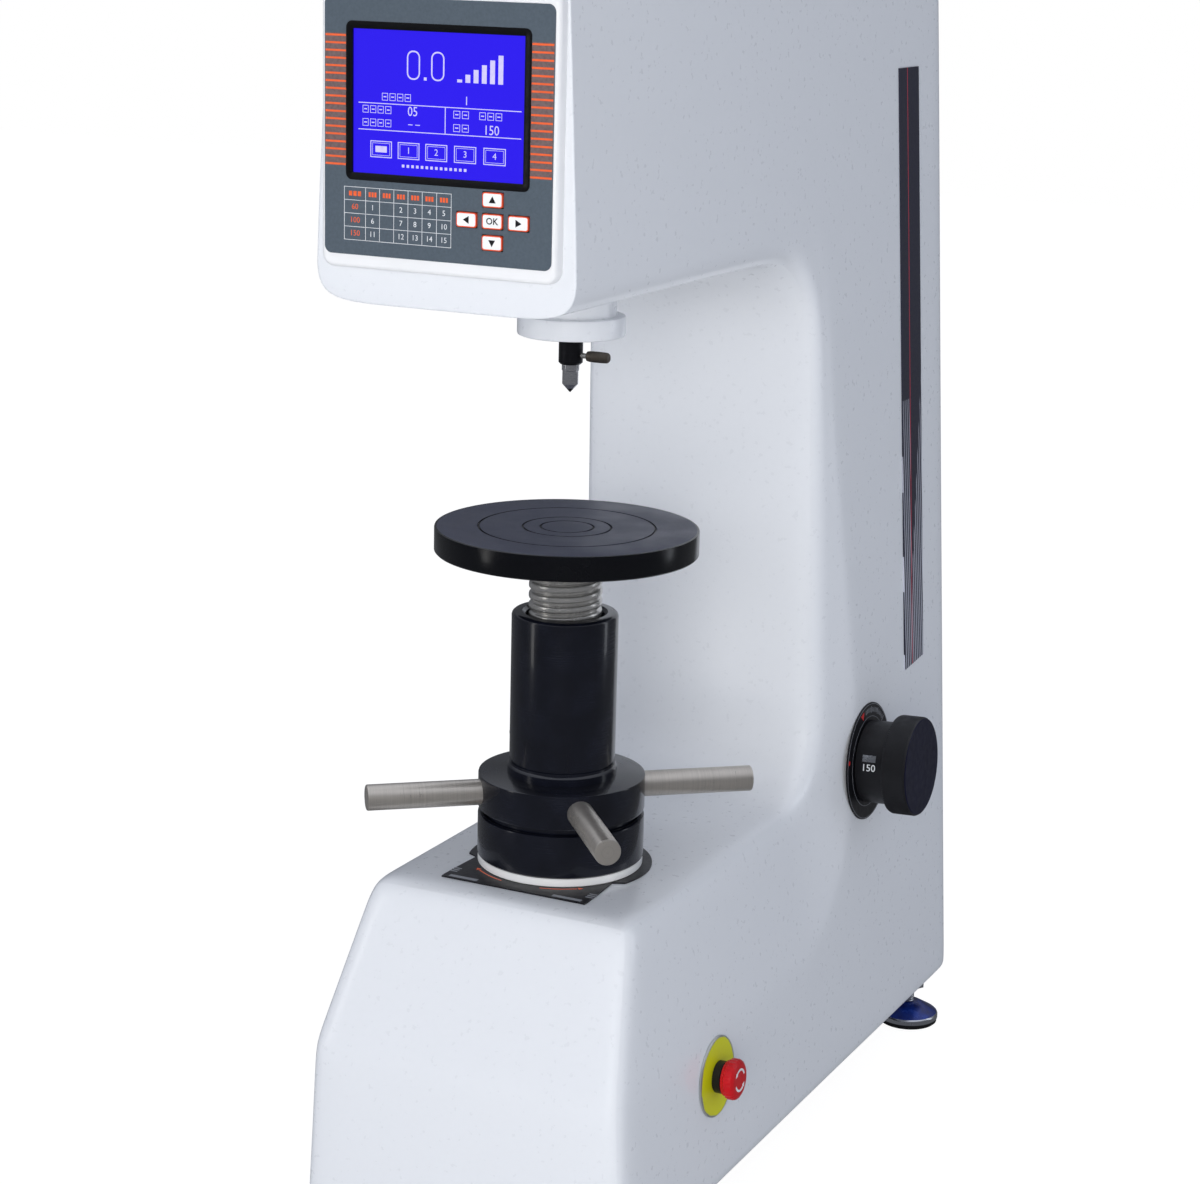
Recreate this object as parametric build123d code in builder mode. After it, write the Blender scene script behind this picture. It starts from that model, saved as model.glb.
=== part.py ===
from build123d import *

import os
from math import atan, cos, degrees, hypot, pi, radians, sin

# Bench hardness tester with a screw-raised table, a dead-weight lever and a motor-driven
# lift, in millimetres. The bench is z = 0 and the front faces -Y. Every plane below has
# its origin on the spindle's axis, so a sketch's numbers are distances from that axis.

os.makedirs("parts", exist_ok=True)

# ---------------------------------------------------------------- driving dimensions
spindle_x, spindle_y = -14.0, -132.0  # the spindle's axis, from the middle of the footprint

body_bottom = 34.0  # underside of the cast body
shoulder_height = 131.0  # where the base's upright walls end
base_top = 223.0
head_bottom = 561.0
body_top = 728.0
base_front = 118.2  # how far the base reaches in front of the axis
base_top_front = 77.3
head_front = 145.0
body_back = 414.5  # behind the axis, at the underside
back_lean = 0.0365  # the back leans forward going up, mm per mm
bottom_half_width = 102.7
side_draft = 0.05  # each side narrows going up, mm per mm
wall = 8.0

column_foot = 188.0  # the column's front, behind the axis, at the base's top
column_head = 171.0  # and at the head's underside
throat_low_radius = 48.0
throat_high_radius = 55.0
flare_half_width = 82.1  # half the throat's width at the base's top, inside the flare
flare_draft = 0.019

table_top = 422.0
table_diameter = 150.0
table_thickness = 14.2
table_groove_diameters = (30.0, 50.0, 100.0)
screw_diameter = 42.0
screw_bottom = 92.0
cover_radius = 30.5
cover_top = 373.0
hub_radius = 48.2
hub_top = 277.5
hub_height = 20.4
collar_top = 253.6
pale_ring_height = 5.4
direction_plate_thickness = 0.8
bar_diameter = 15.0
bar_reach = 113.9
first_bar_angle = 39.8

spindle_diameter = 13.6
spindle_journal_diameter = 20.0
spindle_bottom = 514.8
spindle_top = 622.0
indenter_tip = 498.9
indenter_diameter = 9.0
indenter_shank_diameter = 6.35
nose_radius = 30.2
nose_bottom = 531.2
nose_disc_height = 11.6

lever_height = 622.4  # underside of the load lever
lever_depth = 18.0
pivot_to_spindle = 14.0
hanger_offset = 325.0  # weight hanger's axis, behind the spindle's
push_rod_offset = 225.0

bezel_half_width, bezel_low, bezel_high = 67.5, 580.0, 721.5
bezel_proud = 7.2
overlay_half_width, overlay_low, overlay_high = 65.0, 587.0, 715.5
overlay_thickness = 0.5
window_half_width, window_low, window_high = 51.6, 625.6, 702.8
screen_half_width, screen_low, screen_high = 48.7, 628.6, 699.8
key_width, key_height = 11.4, 7.4
key_centre, key_pitch_x, key_pitch_z = (32.2, 609.2), 14.6, 10.6
key_gap = 0.35
key_proud = 0.9

knob_y, knob_z = 255.9, 228.9
dial_radius = 38.3
knob_radius, knob_neck_radius = 32.3, 26.7
knob_reach, knob_rim = 37.3, 20.7
stop_y, stop_z = 10.1, 105.2
stop_plate_radius = 23.9
strip_width, strip_low, strip_high = 35.5, 274.5, 668.0
strip_from_back = 46.0
strip_slant = 3.0  # its lower end drops by this much from the back edge to the front edge

foot_radius = 21.3
foot_x, front_foot_y, rear_foot_y = 85.5, -90.0, 385.0

running_gap = 0.05  # radial clearance of a shaft in its bush
clear_gap = 0.5  # plain clearance between parts that must not touch

# ---------------------------------------------------------------- places
side_angle = degrees(atan(side_draft))
back_angle = degrees(atan(back_lean))


def half_width(z):
    """Half the body's width at a height."""
    return bottom_half_width - side_draft * (z - body_bottom)


def back_at(z):
    """How far the body's back is behind the spindle's axis at a height."""
    return body_back - back_lean * (z - body_bottom)


def column_at(z):
    """How far the column's front is behind the axis at a height."""
    rise = (z - base_top) / (head_bottom - base_top)
    return column_foot + (column_head - column_foot) * rise


def level(z):
    """Level plane: sketch x is the machine's X, sketch y is depth."""
    return Plane((spindle_x, spindle_y, z))


def upright(x):
    """Upright plane facing +X: sketch x is depth, sketch y is height."""
    return Plane((spindle_x + x, spindle_y, 0), x_dir=(0, 1, 0), z_dir=(1, 0, 0))


def facing(y):
    """Upright plane facing the front: sketch x is the machine's X, sketch y is height."""
    return Plane((spindle_x, spindle_y + y, 0), x_dir=(1, 0, 0), z_dir=(0, -1, 0))


def side_wall(y, z, out=0.0):
    """Plane on the right side wall at a depth and height, facing outwards."""
    normal = Vector(cos(radians(side_angle)), 0, sin(radians(side_angle)))
    foot = Vector(spindle_x + half_width(z), spindle_y + y, z)
    return Plane(foot + normal * out, x_dir=(0, 1, 0), z_dir=normal)


def back_wall(x, z, out=0.0):
    """Plane on the sloping back at a place and height, facing backwards."""
    normal = Vector(0, cos(radians(back_angle)), sin(radians(back_angle)))
    foot = Vector(spindle_x + x, spindle_y + back_at(z), z)
    return Plane(foot + normal * out, x_dir=(-1, 0, 0), z_dir=normal)


def side_walls(inset=0.0):
    """Both side walls' planes, moved inwards by an inset."""
    right = side_wall(0, 0, -inset)
    left_normal = Vector(-right.z_dir.X, 0, right.z_dir.Z)
    left_origin = Vector(2 * spindle_x - right.origin.X, right.origin.Y, right.origin.Z)
    return right, Plane(left_origin, x_dir=(0, -1, 0), z_dir=left_normal)


middle = Plane.YZ.offset(spindle_x)


def save(piece, name):
    piece.part.label = name
    export_step(piece.part, f"parts/{name}.step")


# ---------------------------------------------------------------- cast body
# Past any face of the body, for tools that cut right through it.
beyond = 60.0


def outline():
    """The corners of the body's side view, from the head's underside round to the base's top."""
    return [
        (-head_front, head_bottom),
        (-head_front, body_top),
        (back_at(body_top), body_top),
        (back_at(body_bottom), body_bottom),
        (-base_front, body_bottom),
        (-base_front, shoulder_height),
        (-base_top_front, base_top),
    ]


with BuildPart() as blank:
    with BuildSketch(upright(0)):
        with BuildLine():
            throat = FilletPolyline(
                (-base_top_front, base_top),
                (column_foot, base_top),
                (column_head, head_bottom),
                (-head_front, head_bottom),
                radius=(throat_low_radius, throat_high_radius),
            )
            Polyline(*outline())
        make_face()
    extrude(amount=bottom_half_width + beyond, both=True)

# The flare: a ruled surface from the throat's edge out to a wider line on each side wall.
flare_root = Plane(
    (spindle_x + flare_half_width + flare_draft * base_top, spindle_y, 0),
    x_dir=(0, 1, 0),
    z_dir=(1, 0, flare_draft),
)
flare_out = side_wall(0, 0)
far_front = -head_front - beyond
# The line on the side wall, as depth and height: a long soft curve up the column.
flare_floor_end = (140.0, 128.0)
flare_low_bend = (212.5, 168.0)
flare_column_foot = (238.0, 274.0)
flare_column_head = (190.0, 500.0)
flare_high_bend = (171.0, 540.0)
# The flare starts this far inside the throat, so it cuts the throat's wall cleanly.
flare_slack = 0.8
flare_roof = head_bottom - flare_slack
flare_roof_end = (122.0, flare_roof)

with BuildPart() as flare:
    with BuildSketch(flare_root):
        with BuildLine():
            inner_edge = FilletPolyline(
                (far_front, base_top + flare_slack),
                (column_foot - flare_slack, base_top + flare_slack),
                (column_head - flare_slack, flare_roof),
                (far_front, flare_roof),
                radius=(throat_low_radius, throat_high_radius),
            )
            Line(inner_edge @ 1, inner_edge @ 0)
        make_face()
    with BuildSketch(flare_out):
        with BuildLine():
            floor_line = Line((far_front, shoulder_height + 3), flare_floor_end)
            low_curve = Spline(
                flare_floor_end, flare_low_bend, flare_column_foot, tangents=((1, 0), (-0.05, 1))
            )
            crease = Line(flare_column_foot, flare_column_head)
            high_curve = Spline(
                flare_column_head, flare_high_bend, flare_roof_end, tangents=(crease % 1, (-1, 0))
            )
            roof_line = Line(flare_roof_end, (far_front, flare_roof))
            Line(roof_line @ 1, floor_line @ 0)
        make_face()
    loft(ruled=True)
    mirror(about=middle)

# The hollow: narrow behind the throat, and out to the side walls away from the flare.
narrow_half = flare_half_width - wall - 6
flare_clear = wall + 2

with BuildPart() as hollow:
    with BuildSketch(upright(0)):
        with BuildLine():
            FilletPolyline(
                (-base_top_front, base_top),
                (column_foot, base_top),
                (column_head, head_bottom),
                (-head_front, head_bottom),
                radius=(throat_low_radius, throat_high_radius),
            )
            Polyline(*outline())
        make_face()
        offset(amount=-wall)
    extrude(amount=narrow_half, both=True)
    with BuildSketch(upright(0)):
        with BuildLine():
            Polyline(
                (-base_front + wall, body_bottom + wall),
                (-base_front + wall, shoulder_height - flare_clear - 4),
                (flare_floor_end[0], flare_floor_end[1] - flare_clear - 4),
                (flare_low_bend[0] - 7, flare_low_bend[1] - 33),
                (flare_low_bend[0] + 20, flare_low_bend[1] + 2),
                (flare_column_foot[0] + flare_clear, flare_column_foot[1]),
                (flare_column_head[0] + flare_clear, flare_column_head[1]),
                (flare_high_bend[0] + flare_clear, flare_high_bend[1] + 5),
                (flare_roof_end[0] + 6, head_bottom + flare_clear),
                (-head_front + wall, head_bottom + flare_clear),
                (-head_front + wall, body_top - wall),
                (back_at(body_top) - wall, body_top - wall),
                (back_at(body_bottom) - wall, body_bottom + wall),
                close=True,
            )
        make_face()
    extrude(amount=bottom_half_width + beyond, both=True)
    for plane in side_walls(wall):
        split(bisect_by=plane, keep=Keep.BOTTOM)

# Openings in the walls, each as centre, width and height on its own face.
floor_opening = (0, 130, 120, 430)
top_opening = (0, 115, 92, 470)
back_opening = (0, 390, 104, 610)
front_opening = (0, 652, 108, 122)
foot_places = [
    (side * foot_x, y) for side in (-1, 1) for y in (front_foot_y, rear_foot_y)
]
foot_boss_radius, foot_boss_height = 15.0, 32.0
stem_radius = 6.0
nose_spigot_radius = 17.0
collar_spigot_radius = 41.9
selector_bush_radius = 10.0
stop_barrel_radius = 8.0
cover_screw_radius, cover_screw_depth = 2.0, 7.5
top_screw_places = [(x, y) for x in (-54, 54) for y in (-125, 360)]
back_screw_places = [(x, z) for x in (-57, 57) for z in (78, 280, 490, 702)]
floor_screw_places = [(x, y) for x in (-65, 65) for y in (-60, 130, 320)]

with BuildPart() as body_casting:
    add(blank.part)
    for plane in side_walls():
        split(bisect_by=plane, keep=Keep.BOTTOM)
    add(flare.part, mode=Mode.SUBTRACT)
    add(hollow.part, mode=Mode.SUBTRACT)
    with BuildSketch(level(body_bottom)):
        with Locations(*foot_places):
            Circle(foot_boss_radius)
    extrude(amount=foot_boss_height)
    with BuildSketch(level(body_bottom)):
        with Locations(*foot_places):
            Circle(stem_radius + running_gap)
        with Locations(floor_opening[:2]):
            Rectangle(*floor_opening[2:])
        with Locations(*floor_screw_places):
            Circle(cover_screw_radius)
    extrude(amount=foot_boss_height, mode=Mode.SUBTRACT)
    with BuildSketch(level(body_top)):
        with Locations(top_opening[:2]):
            Rectangle(*top_opening[2:])
        with Locations(*top_screw_places):
            Circle(cover_screw_radius)
    extrude(amount=-cover_screw_depth - 1, mode=Mode.SUBTRACT)
    with BuildSketch(back_wall(0, back_opening[1])):
        Rectangle(*back_opening[2:])
        with Locations(*[(-x, z - back_opening[1]) for x, z in back_screw_places]):
            Circle(cover_screw_radius)
    extrude(amount=-wall - 1, mode=Mode.SUBTRACT)
    with BuildSketch(facing(-head_front)):
        with Locations(front_opening[:2]):
            Rectangle(*front_opening[2:])
    extrude(amount=-wall - 1, mode=Mode.SUBTRACT)
    with BuildSketch(facing(-head_front)):
        with Locations(*[(x, z) for x in (-61, 61) for z in (590, 712)]):
            Circle(2 + running_gap)
    extrude(amount=-wall, mode=Mode.SUBTRACT)
    with BuildSketch(level(head_bottom)):
        Circle(nose_spigot_radius + clear_gap)
    extrude(amount=wall + 1, mode=Mode.SUBTRACT)
    with BuildSketch(level(base_top)):
        Circle(collar_spigot_radius + running_gap)
    extrude(amount=-wall - 1, mode=Mode.SUBTRACT)
    with BuildSketch(side_wall(knob_y, knob_z)):
        Circle(selector_bush_radius + running_gap)
    extrude(amount=-wall - 1, mode=Mode.SUBTRACT)
    with BuildSketch(side_wall(stop_y, stop_z)):
        Circle(stop_barrel_radius + running_gap)
    extrude(amount=-wall - 1, mode=Mode.SUBTRACT)
save(body_casting, "body_casting")

# ---------------------------------------------------------------- covers
cover_thickness = 2.5
lid_thickness = 6.0
screw_head_radius, screw_head_height = 3.8, 2.0

with BuildPart() as top_cover:
    with BuildSketch(level(body_top)):
        lid_half = half_width(body_top) - 0.4
        with BuildLine():
            Polyline(
                (-lid_half, -head_front + 0.4),
                (lid_half, -head_front + 0.4),
                (lid_half, back_at(body_top) - 0.4),
                (-lid_half, back_at(body_top) - 0.4),
                close=True,
            )
        make_face()
    extrude(amount=lid_thickness)
    chamfer(top_cover.faces().sort_by(Axis.Z)[-1].edges(), 2.5)
    with BuildSketch(level(body_top)):
        with Locations(top_opening[:2]):
            Rectangle(top_opening[2] - 2 * clear_gap, top_opening[3] - 2 * clear_gap)
            Rectangle(top_opening[2] - 8, top_opening[3] - 8, mode=Mode.SUBTRACT)
    extrude(amount=-5)
    with BuildSketch(level(body_top)):
        with Locations(*top_screw_places):
            Circle(cover_screw_radius)
    extrude(amount=lid_thickness, mode=Mode.SUBTRACT)
save(top_cover, "top_cover")

rear_cover_size = (124.0, 650.0)
inlet_place, inlet_size = (-24.0, 118.0), (27.4, 20.0)
rocker_place, rocker_size = (14.0, 118.0), (13.0, 19.4)
port_place, port_size = (-20.0, 168.0), (17.0, 9.0)
vent_places = [(x, 600 + 14 * row) for row in range(6) for x in (-26, 0, 26)]
vent_size = (18.0, 4.0)
back_mid = back_opening[1]


def on_cover(place):
    """A place on the back, as x and height, in the rear cover's own sketch."""
    return (-place[0], place[1] - back_mid)


with BuildPart() as rear_cover:
    with BuildSketch(back_wall(0, back_mid)):
        RectangleRounded(*rear_cover_size, 4)
        with Locations(on_cover(inlet_place)):
            Rectangle(*inlet_size, mode=Mode.SUBTRACT)
        with Locations(on_cover(rocker_place)):
            Rectangle(*rocker_size, mode=Mode.SUBTRACT)
        with Locations(on_cover(port_place)):
            Rectangle(*port_size, mode=Mode.SUBTRACT)
        with Locations(*[on_cover(p) for p in vent_places]):
            SlotOverall(*vent_size, mode=Mode.SUBTRACT)
        with Locations(*[on_cover(p) for p in back_screw_places]):
            Circle(cover_screw_radius, mode=Mode.SUBTRACT)
    extrude(amount=cover_thickness)
save(rear_cover, "rear_cover")

floor_plate_thickness = 2.5
with BuildPart() as bottom_plate:
    with BuildSketch(level(body_bottom)):
        with Locations(floor_opening[:2]):
            Rectangle(floor_opening[2] + 20, floor_opening[3] + 20)
        with Locations(*floor_screw_places):
            Circle(cover_screw_radius, mode=Mode.SUBTRACT)
    extrude(amount=-floor_plate_thickness)
save(bottom_plate, "bottom_plate")

# The three covers' screws are alike: each set's plane, its places and its cover's thickness.
screw_sets = (
    (level(body_top), top_screw_places, lid_thickness),
    (back_wall(0, back_mid), [on_cover(p) for p in back_screw_places], cover_thickness),
    (
        Plane((spindle_x, spindle_y, body_bottom), x_dir=(1, 0, 0), z_dir=(0, 0, -1)),
        [(x, -y) for x, y in floor_screw_places],
        floor_plate_thickness,
    ),
)
with BuildPart() as cover_screws:
    for plane, places, under_head in screw_sets:
        with BuildSketch(plane.offset(-cover_screw_depth)):
            with Locations(*places):
                Circle(cover_screw_radius)
        extrude(amount=cover_screw_depth + under_head)
        with BuildSketch(plane.offset(under_head)):
            with Locations(*places):
                Circle(screw_head_radius)
                RegularPolygon(1.6, 6, mode=Mode.SUBTRACT)
        extrude(amount=screw_head_height)
save(cover_screws, "cover_screws")

# ---------------------------------------------------------------- levelling feet
sole_height, pad_rim_top, pad_top = 3.0, 8.0, 14.0
pad_crown_radius = 9.0  # where the domed pad meets its stem's flat
nut_height = 8.0
with BuildPart() as foot_soles:
    with BuildSketch(level(0)):
        with Locations(*foot_places):
            Circle(foot_radius - 0.6)
    extrude(amount=sole_height)
save(foot_soles, "foot_soles")

with BuildPart() as foot_pads:
    with BuildSketch(level(sole_height)):
        with Locations(*foot_places):
            Circle(foot_radius)
    extrude(amount=pad_rim_top - 1.8 - sole_height)
    with BuildSketch(level(pad_rim_top - 1.8)):
        with Locations(*foot_places):
            Circle(foot_radius)
    extrude(amount=1.8, taper=45)
    for place in foot_places:
        with BuildSketch(level(pad_rim_top)):
            with Locations(place):
                Circle(foot_radius - 1.8)
        with BuildSketch(level(pad_top)):
            with Locations(place):
                Circle(pad_crown_radius)
        loft()
save(foot_pads, "foot_pads")

with BuildPart() as foot_stems:
    with BuildSketch(level(pad_top)):
        with Locations(*foot_places):
            Circle(stem_radius)
    extrude(amount=body_bottom + foot_boss_height - 6 - pad_top)
save(foot_stems, "foot_stems")

with BuildPart() as foot_nuts:
    with BuildSketch(level(body_bottom - nut_height)):
        with Locations(*foot_places):
            RegularPolygon(9.5, 6, major_radius=False)
            Circle(stem_radius + running_gap, mode=Mode.SUBTRACT)
    extrude(amount=nut_height)
save(foot_nuts, "foot_nuts")

# ---------------------------------------------------------------- table, screw and handwheel
ring_bottom = base_top + direction_plate_thickness
collar_bottom = ring_bottom + pale_ring_height - direction_plate_thickness
hub_bottom = hub_top - hub_height
screw_radius = screw_diameter / 2
nut_radius = 28.0
nut_bottom, nut_top = 200.0, 270.0
bearing_seat, race_height, ball_radius = 230.0, 2.5, 2.0
race_outer, race_inner = 36.0, 29.6
neck_radius, neck_bottom = 44.4, 249.9
shaft_radius = 35.6
hub_shaft_bottom = bearing_seat + 2 * race_height + 2 * ball_radius
shank_radius, shank_depth = 12.0, 28.0
table_bottom = table_top - table_thickness
groove_width, groove_depth = 0.9, 0.5
guide_floor, guide_thickness = 184.0, 11.0
keyway_width, keyway_depth, keyway_top = 8.0, 4.0, 236.0

with BuildPart() as table:
    with BuildSketch(level(table_bottom)):
        Circle(table_diameter / 2)
    extrude(amount=table_thickness)
    chamfer(table.edges().filter_by(GeomType.CIRCLE), 0.8)
    with BuildSketch(level(table_top)):
        for diameter in table_groove_diameters:
            Circle(diameter / 2 + groove_width / 2)
            Circle(diameter / 2 - groove_width / 2, mode=Mode.SUBTRACT)
    extrude(amount=-groove_depth, mode=Mode.SUBTRACT)
    with BuildSketch(level(table_bottom)):
        Circle(shank_radius)
    extrude(amount=-shank_depth)
save(table, "table")

with BuildPart() as elevating_screw:
    with BuildSketch(level(screw_bottom)):
        Circle(screw_radius)
    extrude(amount=table_bottom - screw_bottom)
    chamfer(elevating_screw.edges().filter_by(GeomType.CIRCLE), 1.5)
    with BuildSketch(level(table_bottom)):
        Circle(shank_radius + running_gap)
    extrude(amount=-shank_depth - 1, mode=Mode.SUBTRACT)
    with BuildSketch(level(screw_bottom)):
        with Locations((0, screw_radius - keyway_depth / 2)):
            Rectangle(keyway_width, keyway_depth + 4)
    extrude(amount=keyway_top - screw_bottom, mode=Mode.SUBTRACT)
save(elevating_screw, "elevating_screw")

with BuildPart() as screw_nut:
    with BuildSketch(level(nut_bottom)):
        Circle(nut_radius)
        Circle(screw_radius + running_gap, mode=Mode.SUBTRACT)
    extrude(amount=nut_top - nut_bottom)
save(screw_nut, "screw_nut")

bar_height = hub_top - hub_height / 2
bar_root = nut_radius + 3
bar_angles = [first_bar_angle + 90 * i for i in range(4)]

with BuildPart() as handwheel_hub:
    with BuildSketch(level(hub_bottom)):
        Circle(hub_radius)
    extrude(amount=hub_height)
    chamfer(handwheel_hub.edges().filter_by(GeomType.CIRCLE), 1.0)
    with BuildSketch(level(neck_bottom)):
        Circle(neck_radius)
    extrude(amount=hub_bottom - neck_bottom)
    with BuildSketch(level(hub_shaft_bottom)):
        Circle(shaft_radius)
    extrude(amount=neck_bottom - hub_shaft_bottom)
    with BuildSketch(level(hub_shaft_bottom)):
        Circle(nut_radius)
    extrude(amount=nut_top - hub_shaft_bottom, mode=Mode.SUBTRACT)
    with BuildSketch(level(nut_top)):
        Circle(screw_radius + 1.5)
    extrude(amount=hub_top - nut_top, mode=Mode.SUBTRACT)
    for angle in bar_angles:
        turned = Plane(
            (spindle_x, spindle_y, bar_height),
            x_dir=(-sin(radians(angle)), cos(radians(angle)), 0),
            z_dir=(cos(radians(angle)), sin(radians(angle)), 0),
        )
        with BuildSketch(turned.offset(bar_root)):
            Circle(bar_diameter / 2)
        extrude(amount=hub_radius, mode=Mode.SUBTRACT)
save(handwheel_hub, "handwheel_hub")

with BuildPart() as handwheel_bars:
    for angle in bar_angles:
        turned = Plane(
            (spindle_x, spindle_y, bar_height),
            x_dir=(-sin(radians(angle)), cos(radians(angle)), 0),
            z_dir=(cos(radians(angle)), sin(radians(angle)), 0),
        )
        with BuildSketch(turned.offset(bar_root)):
            Circle(bar_diameter / 2)
        extrude(amount=bar_reach - bar_root)
    bar_ends = handwheel_bars.faces().filter_by(GeomType.PLANE).sort_by(
        lambda f: hypot(f.center().X - spindle_x, f.center().Y - spindle_y)
    )[-4:]
    chamfer([edge for face in bar_ends for edge in face.edges()], 0.7)
save(handwheel_bars, "handwheel_bars")

cover_bore = screw_radius + 1.6
with BuildPart() as screw_cover:
    with BuildSketch(level(hub_top)):
        Circle(cover_radius)
        Circle(cover_bore, mode=Mode.SUBTRACT)
    extrude(amount=cover_top - hub_top)
    with BuildSketch(level(hub_top)):
        Circle(cover_radius + 1.1)
        Circle(cover_bore, mode=Mode.SUBTRACT)
    extrude(amount=5.5)
    with BuildSketch(level(hub_top + 7.5)):
        Circle(cover_radius + 1)
        Circle(cover_radius - 0.8, mode=Mode.SUBTRACT)
    extrude(amount=1.2, mode=Mode.SUBTRACT)
save(screw_cover, "screw_cover")

ball_circle = (race_inner + shaft_radius) / 2
ball_count = 24
with BuildPart() as thrust_bearing:
    with BuildSketch(level(bearing_seat)):
        Circle(race_outer)
        Circle(race_inner, mode=Mode.SUBTRACT)
    extrude(amount=race_height)
    with Locations(level(bearing_seat + race_height + ball_radius).location):
        with PolarLocations(ball_circle, ball_count):
            Sphere(ball_radius - 0.02)
save(thrust_bearing, "thrust_bearing")

with BuildPart() as thrust_washer:
    with BuildSketch(level(hub_shaft_bottom - race_height)):
        Circle(shaft_radius)
        Circle(race_inner, mode=Mode.SUBTRACT)
    extrude(amount=race_height)
save(thrust_washer, "thrust_washer")

with BuildPart() as lower_collar:
    with BuildSketch(level(collar_bottom)):
        Circle(hub_radius)
    extrude(amount=collar_top - collar_bottom)
    chamfer(lower_collar.edges().filter_by(GeomType.CIRCLE), 1.0)
    with BuildSketch(level(collar_bottom)):
        Circle(collar_spigot_radius)
    extrude(amount=base_top - wall - 6 - collar_bottom)
    with BuildSketch(level(base_top - wall - 6)):
        Circle(nut_radius + 1)
    extrude(amount=collar_top, mode=Mode.SUBTRACT)
    with BuildSketch(level(bearing_seat)):
        Circle(race_outer)
    extrude(amount=collar_top, mode=Mode.SUBTRACT)
    with BuildSketch(level(neck_bottom - 0.6)):
        Circle(neck_radius + 0.8)
    extrude(amount=collar_top, mode=Mode.SUBTRACT)
save(lower_collar, "lower_collar")

with BuildPart() as pale_ring:
    with BuildSketch(level(ring_bottom)):
        Circle(hub_radius - 0.3)
        Circle(collar_spigot_radius + running_gap, mode=Mode.SUBTRACT)
    extrude(amount=collar_bottom - ring_bottom)
save(pale_ring, "pale_ring")

plate_disc_radius = 53.6
plate_front_y, plate_front_half, plate_shoulder_half = -59.0, 47.5, 44.0
with BuildPart() as direction_plate:
    with BuildSketch(level(base_top)):
        Circle(plate_disc_radius)
        with BuildLine():
            Polyline(
                (-plate_front_half, plate_front_y),
                (plate_front_half, plate_front_y),
                (plate_shoulder_half, -20),
                (-plate_shoulder_half, -20),
                close=True,
            )
        make_face()
        Circle(collar_spigot_radius + running_gap, mode=Mode.SUBTRACT)
    extrude(amount=direction_plate_thickness)
save(direction_plate, "direction_plate")

with BuildPart() as screw_guide:
    with BuildSketch(level(guide_floor)):
        Circle(52)
    extrude(amount=base_top - wall - guide_floor)
    with BuildSketch(level(base_top - wall)):
        Circle(62)
    extrude(amount=-6)
    with BuildSketch(level(guide_floor + guide_thickness)):
        Circle(collar_spigot_radius + clear_gap)
    extrude(amount=base_top, mode=Mode.SUBTRACT)
    with BuildSketch(level(guide_floor)):
        Circle(screw_radius + running_gap)
    extrude(amount=guide_thickness, mode=Mode.SUBTRACT)
    with BuildSketch(level(guide_floor)):
        with Locations((0, screw_radius - keyway_depth / 2 + 1.2)):
            Rectangle(keyway_width - 0.2, keyway_depth)
    extrude(amount=guide_thickness)
save(screw_guide, "screw_guide")

# ---------------------------------------------------------------- spindle and indenter
bush_radius, bush_bottom, bush_top = 14.0, 550.0, 569.0
bush_flange_radius, bush_flange = 16.5, 4.0
journal_radius = spindle_journal_diameter / 2
shaft_low_radius = spindle_diameter / 2
stem_top_radius = 6.0
spring_radius, spring_wire = 12.0, 1.2
spring_bottom, spring_top = bush_top + bush_flange, 610.0
indenter_shoulder, indenter_cone = 511.0, 503.7
shank_top = spindle_bottom + 22
clamp_height, clamp_thread_radius, clamp_head_radius = 520.0, 1.5, 3.1
clamp_head_from, clamp_reach = 10.4, 23.7
clamp_plane = Plane((spindle_x, spindle_y, clamp_height), x_dir=(0, 1, 0), z_dir=(1, 0, 0))

with BuildPart() as spindle_nose:
    with BuildSketch(level(nose_bottom)):
        Circle(nose_radius)
    extrude(amount=nose_disc_height)
    chamfer(spindle_nose.edges().filter_by(GeomType.CIRCLE), 1.2)
    with BuildSketch(level(nose_bottom + nose_disc_height)):
        Circle(25)
    extrude(amount=head_bottom - nose_bottom - nose_disc_height)
    with BuildSketch(level(head_bottom)):
        Circle(nose_spigot_radius)
    extrude(amount=bush_top - head_bottom)
    with BuildSketch(level(nose_bottom)):
        Circle(shaft_low_radius + clear_gap)
    extrude(amount=bush_top - nose_bottom, mode=Mode.SUBTRACT)
    with BuildSketch(level(bush_bottom - 6)):
        Circle(bush_radius)
    extrude(amount=bush_top - bush_bottom + 6, mode=Mode.SUBTRACT)
save(spindle_nose, "spindle_nose")

with BuildPart() as spindle_bush:
    with BuildSketch(level(bush_bottom)):
        Circle(bush_radius)
    extrude(amount=bush_top - bush_bottom)
    with BuildSketch(level(bush_top)):
        Circle(bush_flange_radius)
    extrude(amount=bush_flange)
    with BuildSketch(level(bush_bottom)):
        Circle(journal_radius + running_gap)
    extrude(amount=bush_top + bush_flange - bush_bottom, mode=Mode.SUBTRACT)
save(spindle_bush, "spindle_bush")

with BuildPart() as spindle:
    with BuildSketch(level(spindle_bottom)):
        Circle(shaft_low_radius)
    extrude(amount=bush_bottom - 2 - spindle_bottom)
    chamfer(spindle.edges().filter_by(GeomType.CIRCLE).group_by(Axis.Z)[0], 1.0)
    with BuildSketch(level(bush_bottom - 2)):
        Circle(journal_radius)
    extrude(amount=bush_top + 1 - bush_bottom + 2)
    with BuildSketch(level(bush_top + 1)):
        Circle(stem_top_radius)
    extrude(amount=spindle_top - bush_top - 1)
    with BuildSketch(level(spring_top)):
        Circle(spring_radius + 2)
    extrude(amount=3)
    with BuildSketch(level(spindle_bottom)):
        Circle(indenter_shank_diameter / 2)
    extrude(amount=shank_top + 1 - spindle_bottom, mode=Mode.SUBTRACT)
    with BuildSketch(clamp_plane):
        Circle(clamp_thread_radius + running_gap)
    extrude(amount=shaft_low_radius + 2, mode=Mode.SUBTRACT)
save(spindle, "spindle")

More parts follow.
